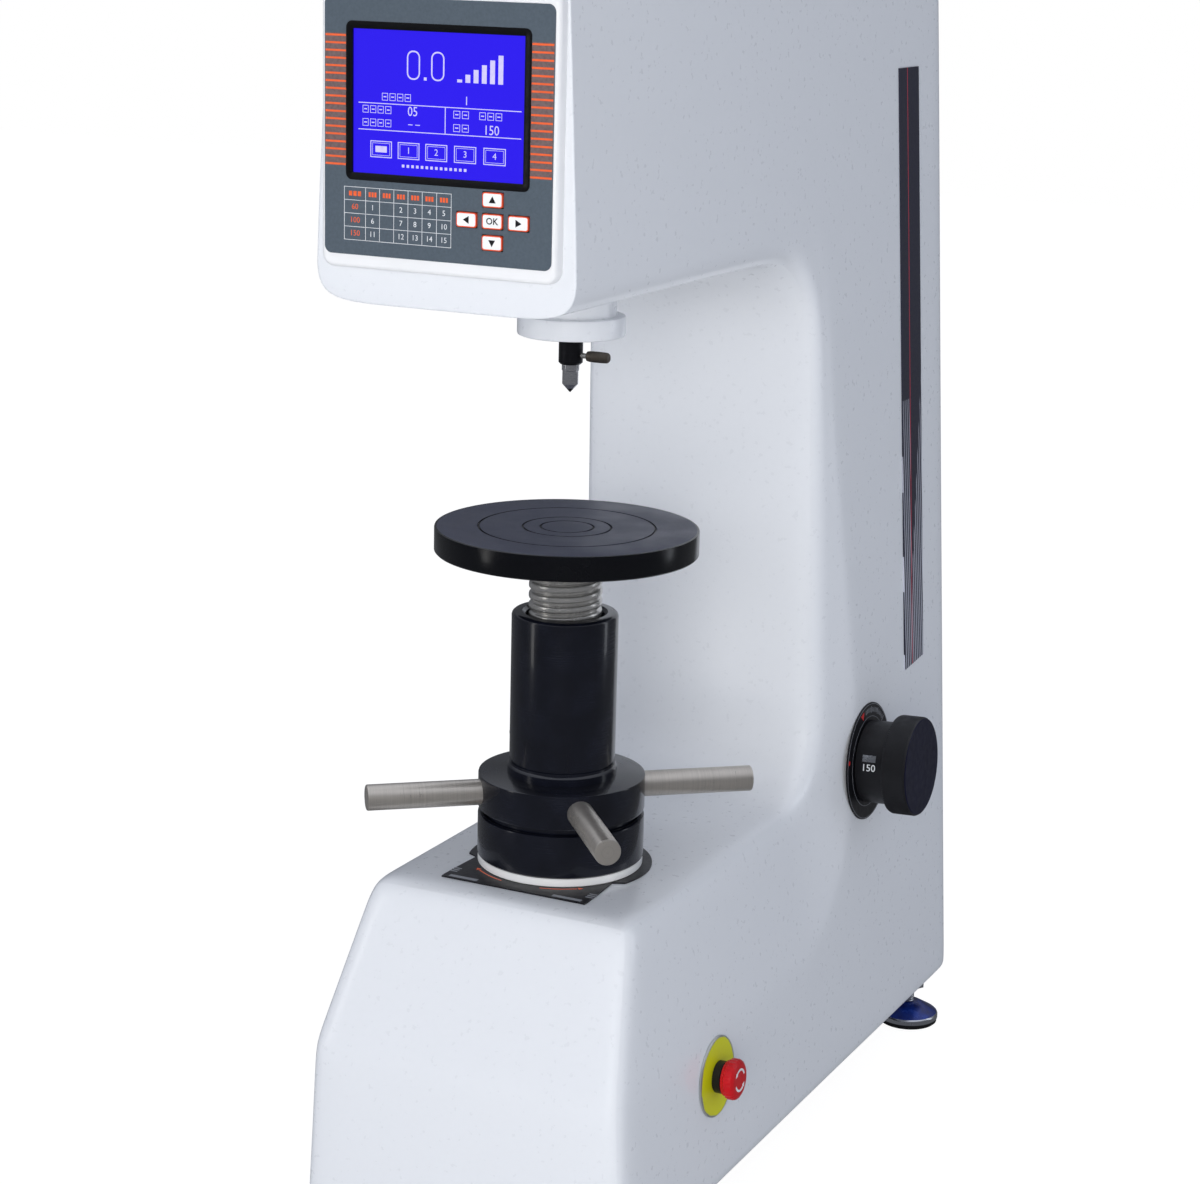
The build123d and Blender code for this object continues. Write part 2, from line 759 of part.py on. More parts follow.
spring_turns = 8
spring_rise = spring_top - spring_bottom - 2 * spring_wire
with BuildPart() as preload_spring:
    with BuildLine():
        coil = Helix(
            spring_rise / spring_turns,
            spring_rise,
            spring_radius,
            center=(spindle_x, spindle_y, spring_bottom + spring_wire),
        )
    with BuildSketch(Plane(coil @ 0, z_dir=coil % 0)):
        Circle(spring_wire)
    sweep(path=coil, is_frenet=True)
save(preload_spring, "preload_spring")

with BuildPart() as indenter:
    with BuildSketch(Plane((spindle_x, spindle_y, 0), x_dir=(1, 0, 0), z_dir=(0, -1, 0))):
        with BuildLine():
            Polyline(
                (0, indenter_tip),
                (0.25, indenter_tip + 0.1),
                (indenter_diameter / 2, indenter_cone),
                (indenter_diameter / 2, indenter_shoulder),
                (indenter_diameter / 2 + 0.4, indenter_shoulder + 0.4),
                (indenter_diameter / 2 + 0.4, spindle_bottom),
                (indenter_shank_diameter / 2, spindle_bottom),
                (indenter_shank_diameter / 2, shank_top),
                (0, shank_top),
                close=True,
            )
        make_face()
    revolve(axis=Axis((spindle_x, spindle_y, 0), (0, 0, 1)))
save(indenter, "indenter")

with BuildPart() as indenter_clamp_screw:
    with BuildSketch(clamp_plane.offset(indenter_shank_diameter / 2 + 0.05)):
        Circle(clamp_thread_radius)
    extrude(amount=clamp_head_from)
    with BuildSketch(clamp_plane.offset(clamp_head_from)):
        Circle(clamp_head_radius)
    extrude(amount=clamp_reach - clamp_head_from)
    chamfer(indenter_clamp_screw.faces().sort_by(Axis.X)[-1].edges(), 0.5)
save(indenter_clamp_screw, "indenter_clamp_screw")

# ---------------------------------------------------------------- display and keys
bezel_front = head_front + bezel_proud
bezel_plate = 3.0
board_front, board_thickness = bezel_front - 6.0, 1.6
board_half_width, board_low, board_high = 53.0, 592.0, 712.0
bezel_mid = (bezel_low + bezel_high) / 2
stud_places = [(x, z) for x in (-61, 61) for z in (590, 712)]
post_places = [(x, z) for x in (-49, 49) for z in (597, 709.2)]
key_places = {
    "key_up": (key_centre[0], key_centre[1] + key_pitch_z),
    "key_down": (key_centre[0], key_centre[1] - key_pitch_z),
    "key_left": (key_centre[0] - key_pitch_x, key_centre[1]),
    "key_right": (key_centre[0] + key_pitch_x, key_centre[1]),
    "key_ok": key_centre,
}
window_mid = (window_low + window_high) / 2
window_size = (2 * window_half_width, window_high - window_low)
key_travel = 0.5

with BuildPart() as display_bezel:
    with BuildSketch(facing(-head_front)):
        with Locations((0, bezel_mid)):
            RectangleRounded(2 * bezel_half_width, bezel_high - bezel_low, 5)
    extrude(amount=bezel_proud)
    chamfer(display_bezel.faces().sort_by(Axis.Y)[0].edges(), 1.6)
    with BuildSketch(facing(-head_front)):
        with Locations((0, (589 + 715) / 2)):
            Rectangle(112, 126)
    extrude(amount=bezel_proud - bezel_plate, mode=Mode.SUBTRACT)
    with BuildSketch(facing(-head_front)):
        with Locations((0, window_mid)):
            Rectangle(*window_size)
        with Locations(*key_places.values()):
            Rectangle(key_width + 2 * key_gap, key_height + 2 * key_gap)
    extrude(amount=bezel_proud, mode=Mode.SUBTRACT)
    with BuildSketch(facing(-board_front)):
        with Locations(*post_places):
            Circle(2.5)
    extrude(amount=bezel_front - bezel_plate - board_front)
    with BuildSketch(facing(-head_front)):
        with Locations(*stud_places):
            Circle(2)
    extrude(amount=-7)
save(display_bezel, "display_bezel")

with BuildPart() as keypad_overlay:
    with BuildSketch(facing(-bezel_front)):
        with Locations((0, (overlay_low + overlay_high) / 2)):
            RectangleRounded(2 * overlay_half_width, overlay_high - overlay_low, 4)
        with Locations((0, window_mid)):
            Rectangle(*window_size, mode=Mode.SUBTRACT)
        with Locations(*key_places.values()):
            Rectangle(key_width + 2 * key_gap, key_height + 2 * key_gap, mode=Mode.SUBTRACT)
    extrude(amount=overlay_thickness)
save(keypad_overlay, "keypad_overlay")

screen_mid = (screen_low + screen_high) / 2
screen_size = (2 * screen_half_width, screen_high - screen_low)
screen_lip = 0.8  # the black frame's lip in front of the glass
glass_front = bezel_front + overlay_thickness - 0.2 - screen_lip
with BuildPart() as lcd_frame:
    with BuildSketch(facing(-board_front)):
        with Locations((0, window_mid + 1.25)):
            Rectangle(110, window_size[1] + 4.5)
    extrude(amount=bezel_front - bezel_plate - board_front)
    with BuildSketch(facing(-board_front)):
        with Locations((0, window_mid)):
            Rectangle(window_size[0] - 0.4, window_size[1] - 0.4)
    extrude(amount=glass_front + screen_lip - board_front)
    with BuildSketch(facing(-board_front)):
        with Locations((0, screen_mid)):
            Rectangle(screen_size[0] + 2.6, screen_size[1] + 2.6)
    extrude(amount=glass_front - board_front, mode=Mode.SUBTRACT)
    with BuildSketch(facing(-board_front)):
        with Locations((0, screen_mid)):
            Rectangle(*screen_size)
    extrude(amount=bezel_proud + 2, mode=Mode.SUBTRACT)
save(lcd_frame, "lcd_frame")

with BuildPart() as lcd_screen:
    with BuildSketch(facing(-board_front)):
        with Locations((0, screen_mid)):
            Rectangle(screen_size[0] + 2.4, screen_size[1] + 2.4)
    extrude(amount=glass_front - board_front)
save(lcd_screen, "lcd_screen")

key_flange_front = bezel_front - bezel_plate - 0.1
with BuildPart() as display_board:
    with BuildSketch(facing(-board_front)):
        with Locations((0, (board_low + board_high) / 2)):
            Rectangle(2 * board_half_width, board_high - board_low)
    extrude(amount=-board_thickness)
    with BuildSketch(facing(-board_front)):
        with Locations(*key_places.values()):
            Rectangle(6, 6)
    extrude(amount=key_flange_front - 1 - key_travel - 0.1 - board_front)
    with BuildSketch(facing(-board_front + board_thickness)):
        with Locations((0, 660), (-30, 610)):
            Rectangle(24, 24)
    extrude(amount=-3)
save(display_board, "display_board")

for key_name, place in key_places.items():
    with BuildPart() as key:
        with BuildSketch(facing(-key_flange_front)):
            with Locations(place):
                Rectangle(key_width, key_height)
        extrude(amount=bezel_front + overlay_thickness + key_proud - key_flange_front)
        chamfer(key.faces().sort_by(Axis.Y)[0].edges(), 0.45)
        with BuildSketch(facing(-key_flange_front)):
            with Locations(place):
                Rectangle(key_width + 1.4, key_height + 1.4)
        extrude(amount=-1)
    save(key, key_name)

# ---------------------------------------------------------------- load selector
dial_thickness = 1.0
knob_foot = dial_thickness + 0.8
selector_shaft_radius = 5.0
selector_cam_radius, selector_cam_from, selector_cam_to = 17.0, -66.0, -56.0
knob_plane = side_wall(knob_y, knob_z)

with BuildPart() as dial_plate:
    with BuildSketch(knob_plane):
        Circle(dial_radius)
        Circle(selector_bush_radius + 2, mode=Mode.SUBTRACT)
    extrude(amount=dial_thickness)
save(dial_plate, "dial_plate")

with BuildPart() as load_knob:
    with BuildSketch(knob_plane.offset(knob_foot)):
        Circle(knob_neck_radius)
    extrude(amount=knob_rim - knob_foot)
    with BuildSketch(knob_plane.offset(knob_rim)):
        Circle(knob_radius)
    extrude(amount=knob_reach - knob_rim)
    knob_face = load_knob.faces().sort_by(Axis(knob_plane.origin, knob_plane.z_dir))[-1]
    chamfer(knob_face.edges(), 1.5)
    with BuildSketch(knob_plane.offset(knob_foot)):
        Circle(selector_shaft_radius)
    extrude(amount=20, mode=Mode.SUBTRACT)
    with BuildSketch(knob_plane.offset(knob_foot)):
        Circle(selector_bush_radius + 3)
    extrude(amount=4, mode=Mode.SUBTRACT)
save(load_knob, "load_knob")

with BuildPart() as selector_shaft:
    with BuildSketch(knob_plane.offset(selector_cam_from - 4)):
        Circle(selector_shaft_radius)
    extrude(amount=knob_foot + 20 - selector_cam_from + 4)
    with BuildSketch(knob_plane.offset(selector_cam_from)):
        Circle(selector_cam_radius)
        for turn in (90, 210, 330):
            with Locations(Location((0, 0, 0), (0, 0, turn))):
                with Locations((selector_cam_radius + 6, 0)):
                    Rectangle(20, 40, mode=Mode.SUBTRACT)
    extrude(amount=selector_cam_to - selector_cam_from)
save(selector_shaft, "selector_shaft")

with BuildPart() as selector_bush:
    with BuildSketch(knob_plane):
        Circle(selector_bush_radius)
    extrude(amount=-24)
    with BuildSketch(knob_plane):
        Circle(selector_bush_radius + 1.8)
    extrude(amount=dial_thickness + 1.5)
    with BuildSketch(knob_plane.offset(-24)):
        Circle(selector_shaft_radius + running_gap)
    extrude(amount=30, mode=Mode.SUBTRACT)
save(selector_bush, "selector_bush")

# ---------------------------------------------------------------- stop button
stop_plate_thickness = 1.5
stop_neck_radius, stop_neck_top = 9.5, 6.5
stop_stem_radius = 4.0
stop_button_radius, stop_button_foot, stop_button_top = 12.0, 7.0, 15.5
stop_travel = 4.0
stop_barrel_end = -22.5
stop_plane = side_wall(stop_y, stop_z)

with BuildPart() as stop_plate:
    with BuildSketch(stop_plane):
        Circle(stop_plate_radius)
        Circle(stop_barrel_radius, mode=Mode.SUBTRACT)
    extrude(amount=stop_plate_thickness)
save(stop_plate, "stop_plate")

with BuildPart() as stop_body:
    with BuildSketch(stop_plane.offset(stop_barrel_end)):
        Circle(stop_barrel_radius)
    extrude(amount=stop_plate_thickness - stop_barrel_end)
    with BuildSketch(stop_plane.offset(stop_plate_thickness)):
        Circle(stop_neck_radius)
    extrude(amount=stop_neck_top - stop_plate_thickness)
    with BuildSketch(stop_plane.offset(-wall)):
        RegularPolygon(10.5, 6, major_radius=False)
    extrude(amount=-4)
    with BuildSketch(stop_plane.offset(stop_barrel_end)):
        Circle(stop_stem_radius + running_gap)
    extrude(amount=stop_neck_top - stop_barrel_end, mode=Mode.SUBTRACT)
    with BuildSketch(stop_plane.offset(stop_barrel_end)):
        Rectangle(18, 18)
    extrude(amount=-22)
save(stop_body, "stop_body")

with BuildPart() as stop_stem:
    with BuildSketch(stop_plane.offset(stop_barrel_end + stop_travel + clear_gap)):
        Circle(stop_stem_radius)
    extrude(amount=stop_button_top - 3 - stop_barrel_end - stop_travel - clear_gap)
save(stop_stem, "stop_stem")

with BuildPart() as stop_button:
    with BuildSketch(stop_plane.offset(stop_button_foot)):
        Circle(stop_button_radius)
    extrude(amount=stop_button_top - stop_button_foot)
    stop_rim = stop_button.faces().sort_by(Axis(stop_plane.origin, stop_plane.z_dir))[-1]
    fillet(stop_rim.edges(), 3.0)
    with BuildSketch(stop_plane.offset(stop_button_foot)):
        Circle(stop_neck_radius + 0.5)
    extrude(amount=stop_travel, mode=Mode.SUBTRACT)
    with BuildSketch(stop_plane.offset(stop_button_foot)):
        Circle(stop_stem_radius + running_gap)
    extrude(amount=stop_button_top - 3 - stop_button_foot, mode=Mode.SUBTRACT)
save(stop_button, "stop_button")

# ---------------------------------------------------------------- side strip
strip_thickness = 0.8
strip_mid = (strip_low + strip_high) / 2


def strip_corner(z, across):
    """A corner of the side strip in its wall's sketch, measured forwards from the back."""
    return (back_at(z) - strip_from_back - across, (z - strip_mid) / cos(radians(side_angle)))


with BuildPart() as side_strip:
    with BuildSketch(side_wall(0, strip_mid)):
        with BuildLine():
            Polyline(
                strip_corner(strip_low + strip_slant / 2, 0),
                strip_corner(strip_high, 0),
                strip_corner(strip_high, strip_width),
                strip_corner(strip_low - strip_slant / 2, strip_width),
                close=True,
            )
        make_face()
    extrude(amount=strip_thickness)
save(side_strip, "side_strip")

# ---------------------------------------------------------------- sockets and switch at the back
with BuildPart() as power_inlet:
    with BuildSketch(back_wall(*inlet_place, -20)):
        RectangleRounded(inlet_size[0] - 0.4, inlet_size[1] - 0.4, 2)
    extrude(amount=20 + cover_thickness)
    with BuildSketch(back_wall(*inlet_place, cover_thickness)):
        RectangleRounded(34, 24, 2)
    extrude(amount=2)
    with BuildSketch(back_wall(*inlet_place, cover_thickness + 2)):
        with BuildLine():
            Polyline((-11.5, -6), (-11.5, 3), (-8, 7), (8, 7), (11.5, 3), (11.5, -6), close=True)
        make_face()
    extrude(amount=-16, mode=Mode.SUBTRACT)
    with BuildSketch(back_wall(*inlet_place, cover_thickness - 14)):
        with Locations((-7, -1.5), (0, 2), (7, -1.5)):
            Rectangle(2, 4)
    extrude(amount=13)
save(power_inlet, "power_inlet")

rocker_pivot_out = 1.5
rocker_reach = 7.4
rocker_half_width = 4.6
rocker_tilt = 9.0
with BuildPart() as power_switch:
    with BuildSketch(back_wall(*rocker_place, -16)):
        Rectangle(rocker_size[0] - 0.4, rocker_size[1] - 0.4)
    extrude(amount=16 + cover_thickness)
    with BuildSketch(back_wall(*rocker_place, cover_thickness)):
        RectangleRounded(17, 24, 1.5)
    extrude(amount=1.8)
    with BuildSketch(back_wall(*rocker_place, cover_thickness + 1.8)):
        Rectangle(2 * rocker_half_width + 0.5, 2 * rocker_reach + 0.8)
    extrude(amount=-13, mode=Mode.SUBTRACT)
    rocker_side = Plane(
        back_wall(*rocker_place, rocker_pivot_out).origin,
        x_dir=back_wall(0, 0).z_dir,
        z_dir=(1, 0, 0),
    )
    with BuildSketch(rocker_side.offset(-6.2)):
        Circle(1.2)
    extrude(amount=12.4)
save(power_switch, "power_switch")

with BuildPart() as power_rocker:
    with BuildSketch(rocker_side):
        Circle(rocker_reach)
        with Locations(Location((0, 0, 0), (0, 0, -rocker_tilt))):
            with BuildLine():
                Polyline((3.2, 0), (4.6, 9), (12, 9), (12, -9), (4.6, -9), close=True)
            make_face(mode=Mode.SUBTRACT)
            with Locations((-10, 0)):
                Rectangle(12, 20, mode=Mode.SUBTRACT)
        Circle(1.25, mode=Mode.SUBTRACT)
    extrude(amount=rocker_half_width, both=True)
save(power_rocker, "power_rocker")

with BuildPart() as serial_port:
    with BuildSketch(back_wall(*port_place, -8)):
        RectangleRounded(port_size[0] - 0.4, port_size[1] - 0.4, 1.5)
    extrude(amount=8 + cover_thickness + 3)
    with BuildSketch(back_wall(*port_place, cover_thickness)):
        RectangleRounded(30, 12, 1.5)
    extrude(amount=1)
    with BuildSketch(back_wall(*port_place, cover_thickness + 3)):
        RectangleRounded(14.6, 6.6, 1.2)
    extrude(amount=-5, mode=Mode.SUBTRACT)
    with BuildSketch(back_wall(*port_place, cover_thickness + 1)):
        with Locations((-12, 0), (12, 0)):
            RegularPolygon(2.4, 6)
    extrude(amount=3)
save(serial_port, "serial_port")

# ---------------------------------------------------------------- lever, weights and lift
lever_half = 10.0
lever_mid = lever_height + lever_depth / 2
lever_front, lever_rear = -34.0, 345.0
pivot_radius = 5.0
block_from, block_to, block_half = 19.0, 31.0, 14.0

with BuildPart() as load_lever:
    with BuildSketch(upright(0)):
        with BuildLine():
            Polyline(
                (lever_front, lever_height),
                (hanger_offset - 30, lever_height),
                (lever_rear, lever_height),
                (lever_rear, lever_height + lever_depth),
                (60, lever_height + lever_depth),
                (30, lever_height + lever_depth + 10),
                (lever_front, lever_height + lever_depth + 10),
                close=True,
            )
        make_face()
    extrude(amount=lever_half, both=True)
    with BuildSketch(upright(0)):
        with Locations((-pivot_to_spindle, lever_mid)):
            Circle(pivot_radius)
    extrude(amount=block_to, both=True)
save(load_lever, "load_lever")

head_floor = head_bottom + wall
with BuildPart() as lever_bearings:
    for side in (-1, 1):
        with BuildSketch(upright(side * block_from)):
            with Locations((-pivot_to_spindle, (head_floor + lever_mid + 14) / 2)):
                Rectangle(2 * block_half, lever_mid + 14 - head_floor)
            with Locations((-pivot_to_spindle, lever_mid)):
                Circle(pivot_radius + running_gap, mode=Mode.SUBTRACT)
        extrude(amount=side * (block_to - block_from))
save(lever_bearings, "lever_bearings")

hanger_rod_radius = 6.0
hanger_bottom, weight_radius = 236.0, 55.0
weight_heights = (28.0, 22.0, 26.0)
stirrup_low = lever_height - 18
lever_top = lever_height + lever_depth
with BuildPart() as weight_hanger:
    with BuildSketch(level(hanger_bottom)):
        with Locations((0, hanger_offset)):
            Circle(20)
    extrude(amount=6)
    with BuildSketch(level(hanger_bottom)):
        with Locations((0, hanger_offset)):
            Circle(hanger_rod_radius)
    extrude(amount=stirrup_low - hanger_bottom)
    with BuildSketch(level(stirrup_low)):
        with Locations((0, hanger_offset)):
            Rectangle(32, 16)
    extrude(amount=lever_top + 8 - stirrup_low)
    with BuildSketch(level(stirrup_low + 8)):
        with Locations((0, hanger_offset)):
            Rectangle(2 * lever_half + 2, 20)
    extrude(amount=lever_top + clear_gap - stirrup_low - 8, mode=Mode.SUBTRACT)
save(weight_hanger, "weight_hanger")

with BuildPart() as weight_discs:
    weight_foot = hanger_bottom + 6
    for weight_height in weight_heights:
        with BuildSketch(level(weight_foot)):
            with Locations((0, hanger_offset)):
                Circle(weight_radius)
        extrude(amount=weight_height - 1)
        with BuildSketch(level(weight_foot + weight_height - 1)):
            with Locations((0, hanger_offset)):
                Circle(22)
        extrude(amount=1)
        weight_foot += weight_height
    with BuildSketch(level(hanger_bottom)):
        with Locations((0, hanger_offset)):
            Circle(hanger_rod_radius + running_gap)
    extrude(amount=weight_foot - hanger_bottom + 5, mode=Mode.SUBTRACT)
save(weight_discs, "weight_discs")

cam_height = 430.0
roller_radius, roller_gap = 8.0, 0.3
cam_mean, cam_rise = 20.0, 5.31  # cam radius at rest, and its growth in mm per radian
cam_width = 12.0
rod_radius = 5.0
roller_height = cam_height + cam_mean + roller_radius + roller_gap


def cam_point(turn):
    """Where the cam's edge lies under the roller once the cam has turned by an angle."""
    angle = pi / 2 - turn
    reach = cam_mean + roller_radius + roller_gap + cam_rise * turn
    slope = -cam_rise
    along = (
        slope * cos(angle) - reach * sin(angle),
        slope * sin(angle) + reach * cos(angle),
    )
    size = hypot(*along)
    inward = (-along[1] / size, along[0] / size)
    inset = roller_radius + roller_gap
    return (
        push_rod_offset + reach * cos(angle) + inset * inward[0],
        cam_height + reach * sin(angle) + inset * inward[1],
    )


cam_turns = [radians(-118 + 236 * i / 24) for i in range(25)]
with BuildPart() as lift_cam:
    with BuildSketch(upright(0)):
        with BuildLine():
            cam_edge = Spline(*[cam_point(turn) for turn in cam_turns])
            Line(cam_edge @ 1, cam_edge @ 0)
        make_face()
        with Locations((push_rod_offset, cam_height)):
            Circle(9)
    extrude(amount=cam_width / 2, both=True)
    with BuildSketch(upright(-40)):
        with Locations((push_rod_offset, cam_height)):
            Circle(6)
    extrude(amount=40 + cam_width / 2 + 3)
save(lift_cam, "lift_cam")

with BuildPart() as push_rod:
    with BuildSketch(level(roller_height + 14)):
        with Locations((0, push_rod_offset)):
            Circle(rod_radius)
    extrude(amount=lever_height - 0.4 - roller_height - 14)
    with BuildSketch(upright(0)):
        with Locations((push_rod_offset, roller_height + 6)):
            Rectangle(12, 24)
    extrude(amount=11, both=True)
    with BuildSketch(upright(0)):
        with Locations((push_rod_offset, roller_height)):
            Rectangle(20, 22)
    extrude(amount=cam_width / 2 + 0.6, both=True, mode=Mode.SUBTRACT)
    with BuildSketch(upright(0)):
        with Locations((push_rod_offset, roller_height)):
            Circle(roller_radius)
    extrude(amount=cam_width / 2, both=True)
    with BuildSketch(upright(0)):
        with Locations((push_rod_offset, roller_height)):
            Circle(3)
    extrude(amount=11, both=True)
save(push_rod, "push_rod")

guide_low, guide_high = 520.0, 538.0
with BuildPart() as push_rod_guide:
    with BuildSketch(level(guide_low)):
        with Locations((0, 195)):
            Rectangle(30, 90)
    extrude(amount=guide_high - guide_low)
    add(hollow.part, mode=Mode.INTERSECT)
    with BuildSketch(level(guide_low)):
        with Locations((0, push_rod_offset)):
            Circle(rod_radius + running_gap)
    extrude(amount=guide_high - guide_low, mode=Mode.SUBTRACT)
save(push_rod_guide, "push_rod_guide")

with BuildPart() as gear_motor:
    with BuildSketch(upright(-narrow_half)):
        with Locations((228, cam_height)):
            Rectangle(62, 58)
    extrude(amount=narrow_half - 16)
    with BuildSketch(level(cam_height - 29)):
        with Locations((-40, 230)):
            Circle(20)
    extrude(amount=-85)
    with BuildSketch(upright(-60)):
        with Locations((push_rod_offset, cam_height)):
            Circle(6 + running_gap)
    extrude(amount=46, mode=Mode.SUBTRACT)
save(gear_motor, "gear_motor")

with BuildPart() as displacement_sensor:
    with BuildSketch(level(head_floor)):
        with Locations((0, -50)):
            Rectangle(44, 24)
    extrude(amount=5)
    with BuildSketch(level(head_floor)):
        with Locations((0, -52)):
            Rectangle(24, 12)
    extrude(amount=60)
    with BuildSketch(level(head_floor + 40)):
        with Locations((0, -52)):
            Circle(9)
    extrude(amount=62)
save(displacement_sensor, "displacement_sensor")

with BuildPart() as control_unit:
    with BuildSketch(level(body_bottom)):
        with Locations((0, 130)):
            Rectangle(100, 140)
    extrude(amount=46)
    with BuildSketch(level(body_bottom)):
        with Locations((0, 270)):
            Rectangle(96, 110)
    extrude(amount=3)
    with BuildSketch(level(body_bottom + 3)):
        with Locations((-20, 250), (24, 290)):
            Rectangle(30, 36)
    extrude(amount=18)
    with BuildSketch(level(body_bottom)):
        with Locations((0, 207)):
            Rectangle(60, 20)
    extrude(amount=3)
save(control_unit, "control_unit")
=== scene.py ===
from math import atan2, cos, hypot, pi, radians, sin

import bmesh
import bpy
from mathutils import Matrix, Vector


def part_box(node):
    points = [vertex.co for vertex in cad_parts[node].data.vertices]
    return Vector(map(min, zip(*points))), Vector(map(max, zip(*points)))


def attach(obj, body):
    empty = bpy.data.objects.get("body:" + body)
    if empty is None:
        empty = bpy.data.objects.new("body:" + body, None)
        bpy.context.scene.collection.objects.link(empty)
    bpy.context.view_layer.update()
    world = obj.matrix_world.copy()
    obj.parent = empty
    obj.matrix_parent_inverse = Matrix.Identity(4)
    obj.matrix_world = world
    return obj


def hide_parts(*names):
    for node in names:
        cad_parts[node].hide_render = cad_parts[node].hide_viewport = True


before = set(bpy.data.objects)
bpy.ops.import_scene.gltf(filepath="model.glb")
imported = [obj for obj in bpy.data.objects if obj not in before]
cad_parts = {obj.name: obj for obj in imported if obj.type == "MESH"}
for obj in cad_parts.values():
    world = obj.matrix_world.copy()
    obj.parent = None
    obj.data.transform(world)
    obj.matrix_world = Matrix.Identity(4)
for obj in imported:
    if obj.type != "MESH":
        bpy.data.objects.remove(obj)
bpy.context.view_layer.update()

bl_info = {
    "name": "Bench hardness tester",
    "version": (1, 0, 0),
    "blender": (4, 5, 0),
    "location": "3D View > Sidebar > Tester",
    "description": "Finishes the looks of a bench hardness tester around its fixed frame",
    "category": "Add Mesh",
}

# ---------------------------------------------------------------- places
# Every piece is drawn in millimetres from the spindle's axis at the bench, then moved into the frame.
nose_low, nose_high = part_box("spindle_nose")
SPINDLE = Vector(((nose_low.x + nose_high.x) / 2, (nose_low.y + nose_high.y) / 2, 0))
TO_FRAME = Matrix.Translation(SPINDLE) @ Matrix.Scale(0.001, 4)

HALF_WIDTH, SIDE_DRAFT, BODY_BOTTOM, BODY_TOP = 102.7, 0.05, 34.0, 728.0
BODY_BACK, BACK_LEAN = 414.5, 0.0365
BASE_TOP, HEAD_BOTTOM = 223.0, 561.0
COLUMN_FOOT, COLUMN_HEAD = 188.0, 171.0
COLUMN_LEAN = 2.88
THROAT_HALF_WIDTH, THROAT_DRAFT = 82.1, 0.019
HEAD_FRONT = 145.0
BEZEL_FRONT, FILM_FRONT, GLASS_FRONT = 152.2, 152.7, 151.7


def wall_x(z):
    """Half the body's width at a height."""
    return HALF_WIDTH - SIDE_DRAFT * (z - BODY_BOTTOM)


def back_y(z):
    """How far the body's back is behind the spindle at a height."""
    return BODY_BACK - BACK_LEAN * (z - BODY_BOTTOM)


def placed(origin, x_axis, z_axis):
    """The matrix of a plane with its own x direction and outward direction."""
    z = Vector(z_axis).normalized()
    x = Vector(x_axis).normalized()
    y = z.cross(x)
    return Matrix.Translation(origin) @ Matrix((x, y, z)).transposed().to_4x4()


def on_side(y, z):
    """The plane of the right side wall at a depth and height, facing outwards."""
    return placed((wall_x(z), y, z), (0, 1, 0), (1, 0, SIDE_DRAFT))


def on_front(depth=0.0):
    """The upright plane this far in front of the spindle: x across, y up, z towards the user."""
    return placed((0, -depth, 0), (1, 0, 0), (0, -1, 0))


KNOB_PLANE = on_side(255.9, 228.9)
STOP_PLANE = on_side(10.1, 105.2)
BAR_HEIGHT, BAR_RADIUS, BAR_ROOT, BAR_REACH = 267.3, 7.5, 31.0, 113.9
BAR_ANGLES = [radians(39.8 + 90 * i) for i in range(4)]
FOOT_PLACES = [(x, y) for x in (-85.5, 85.5) for y in (-90, 385)]


# ---------------------------------------------------------------- colours and sizes to change
def paint(red, green, blue):
    """A colour given as it looks on a screen, from 0 to 255, as shader light."""
    shares = [c / 255 for c in (red, green, blue)]
    light = [s / 12.92 if s <= 0.04045 else ((s + 0.055) / 1.055) ** 2.4 for s in shares]
    return (*light, 1.0)


def colour(name, description, default):
    return bpy.props.FloatVectorProperty(
        name=name, description=description, subtype="COLOR", size=4, min=0, max=1, default=default
    )


def length(name, description, millimetres):
    return bpy.props.FloatProperty(
        name=name, description=description, unit="LENGTH", precision=5, min=0,
        default=millimetres / 1000,
    )


class TesterColours(bpy.types.PropertyGroup):
    enamel: colour("Enamel", "The body's glossy white paint", paint(233, 235, 238))
    film: colour("Panel film", "Slate grey of the front panel's film", paint(84, 94, 103))
    stripe: colour("Stripes", "Orange of the panel's printed stripes", paint(240, 98, 44))
    screen: colour("Screen", "Lit blue of the display", paint(50, 32, 248))
    marks: colour("Screen marks", "Pale violet of the digits on the display", paint(214, 208, 255))
    anodised: colour("Blue-black", "The handwheel hub's and screw cover's finish", paint(11, 13, 22))
    steel: colour("Steel", "Bare turned steel", paint(214, 212, 208))
    stop_red: colour("Stop red", "The stop button's plastic", paint(196, 16, 26))
    stop_yellow: colour("Stop yellow", "The stop button's plate", paint(214, 216, 12))


class TesterSizes(bpy.types.PropertyGroup):
    column_edge: length("Column edge", "Reach of the soft edge beside the column", 27)
    head_edge: length("Head edge", "Reach of the soft edge under the head", 42)
    base_edge: length("Base edge", "Reach of the soft edges round the base", 21)
    thread_pitch: length("Thread pitch", "Pitch of the elevating screw", 6)
    knurl_depth: length("Knurl depth", "Depth of the load knob's diamond knurl", 0.4)
    groove_width: length("Groove width", "Width of the table's ring grooves", 1.3)


def colours():
    return bpy.context.scene.tester_colours


def millimetres(name):
    """One of the user's sizes, in millimetres."""
    return getattr(bpy.context.scene.tester_sizes, name) * 1000


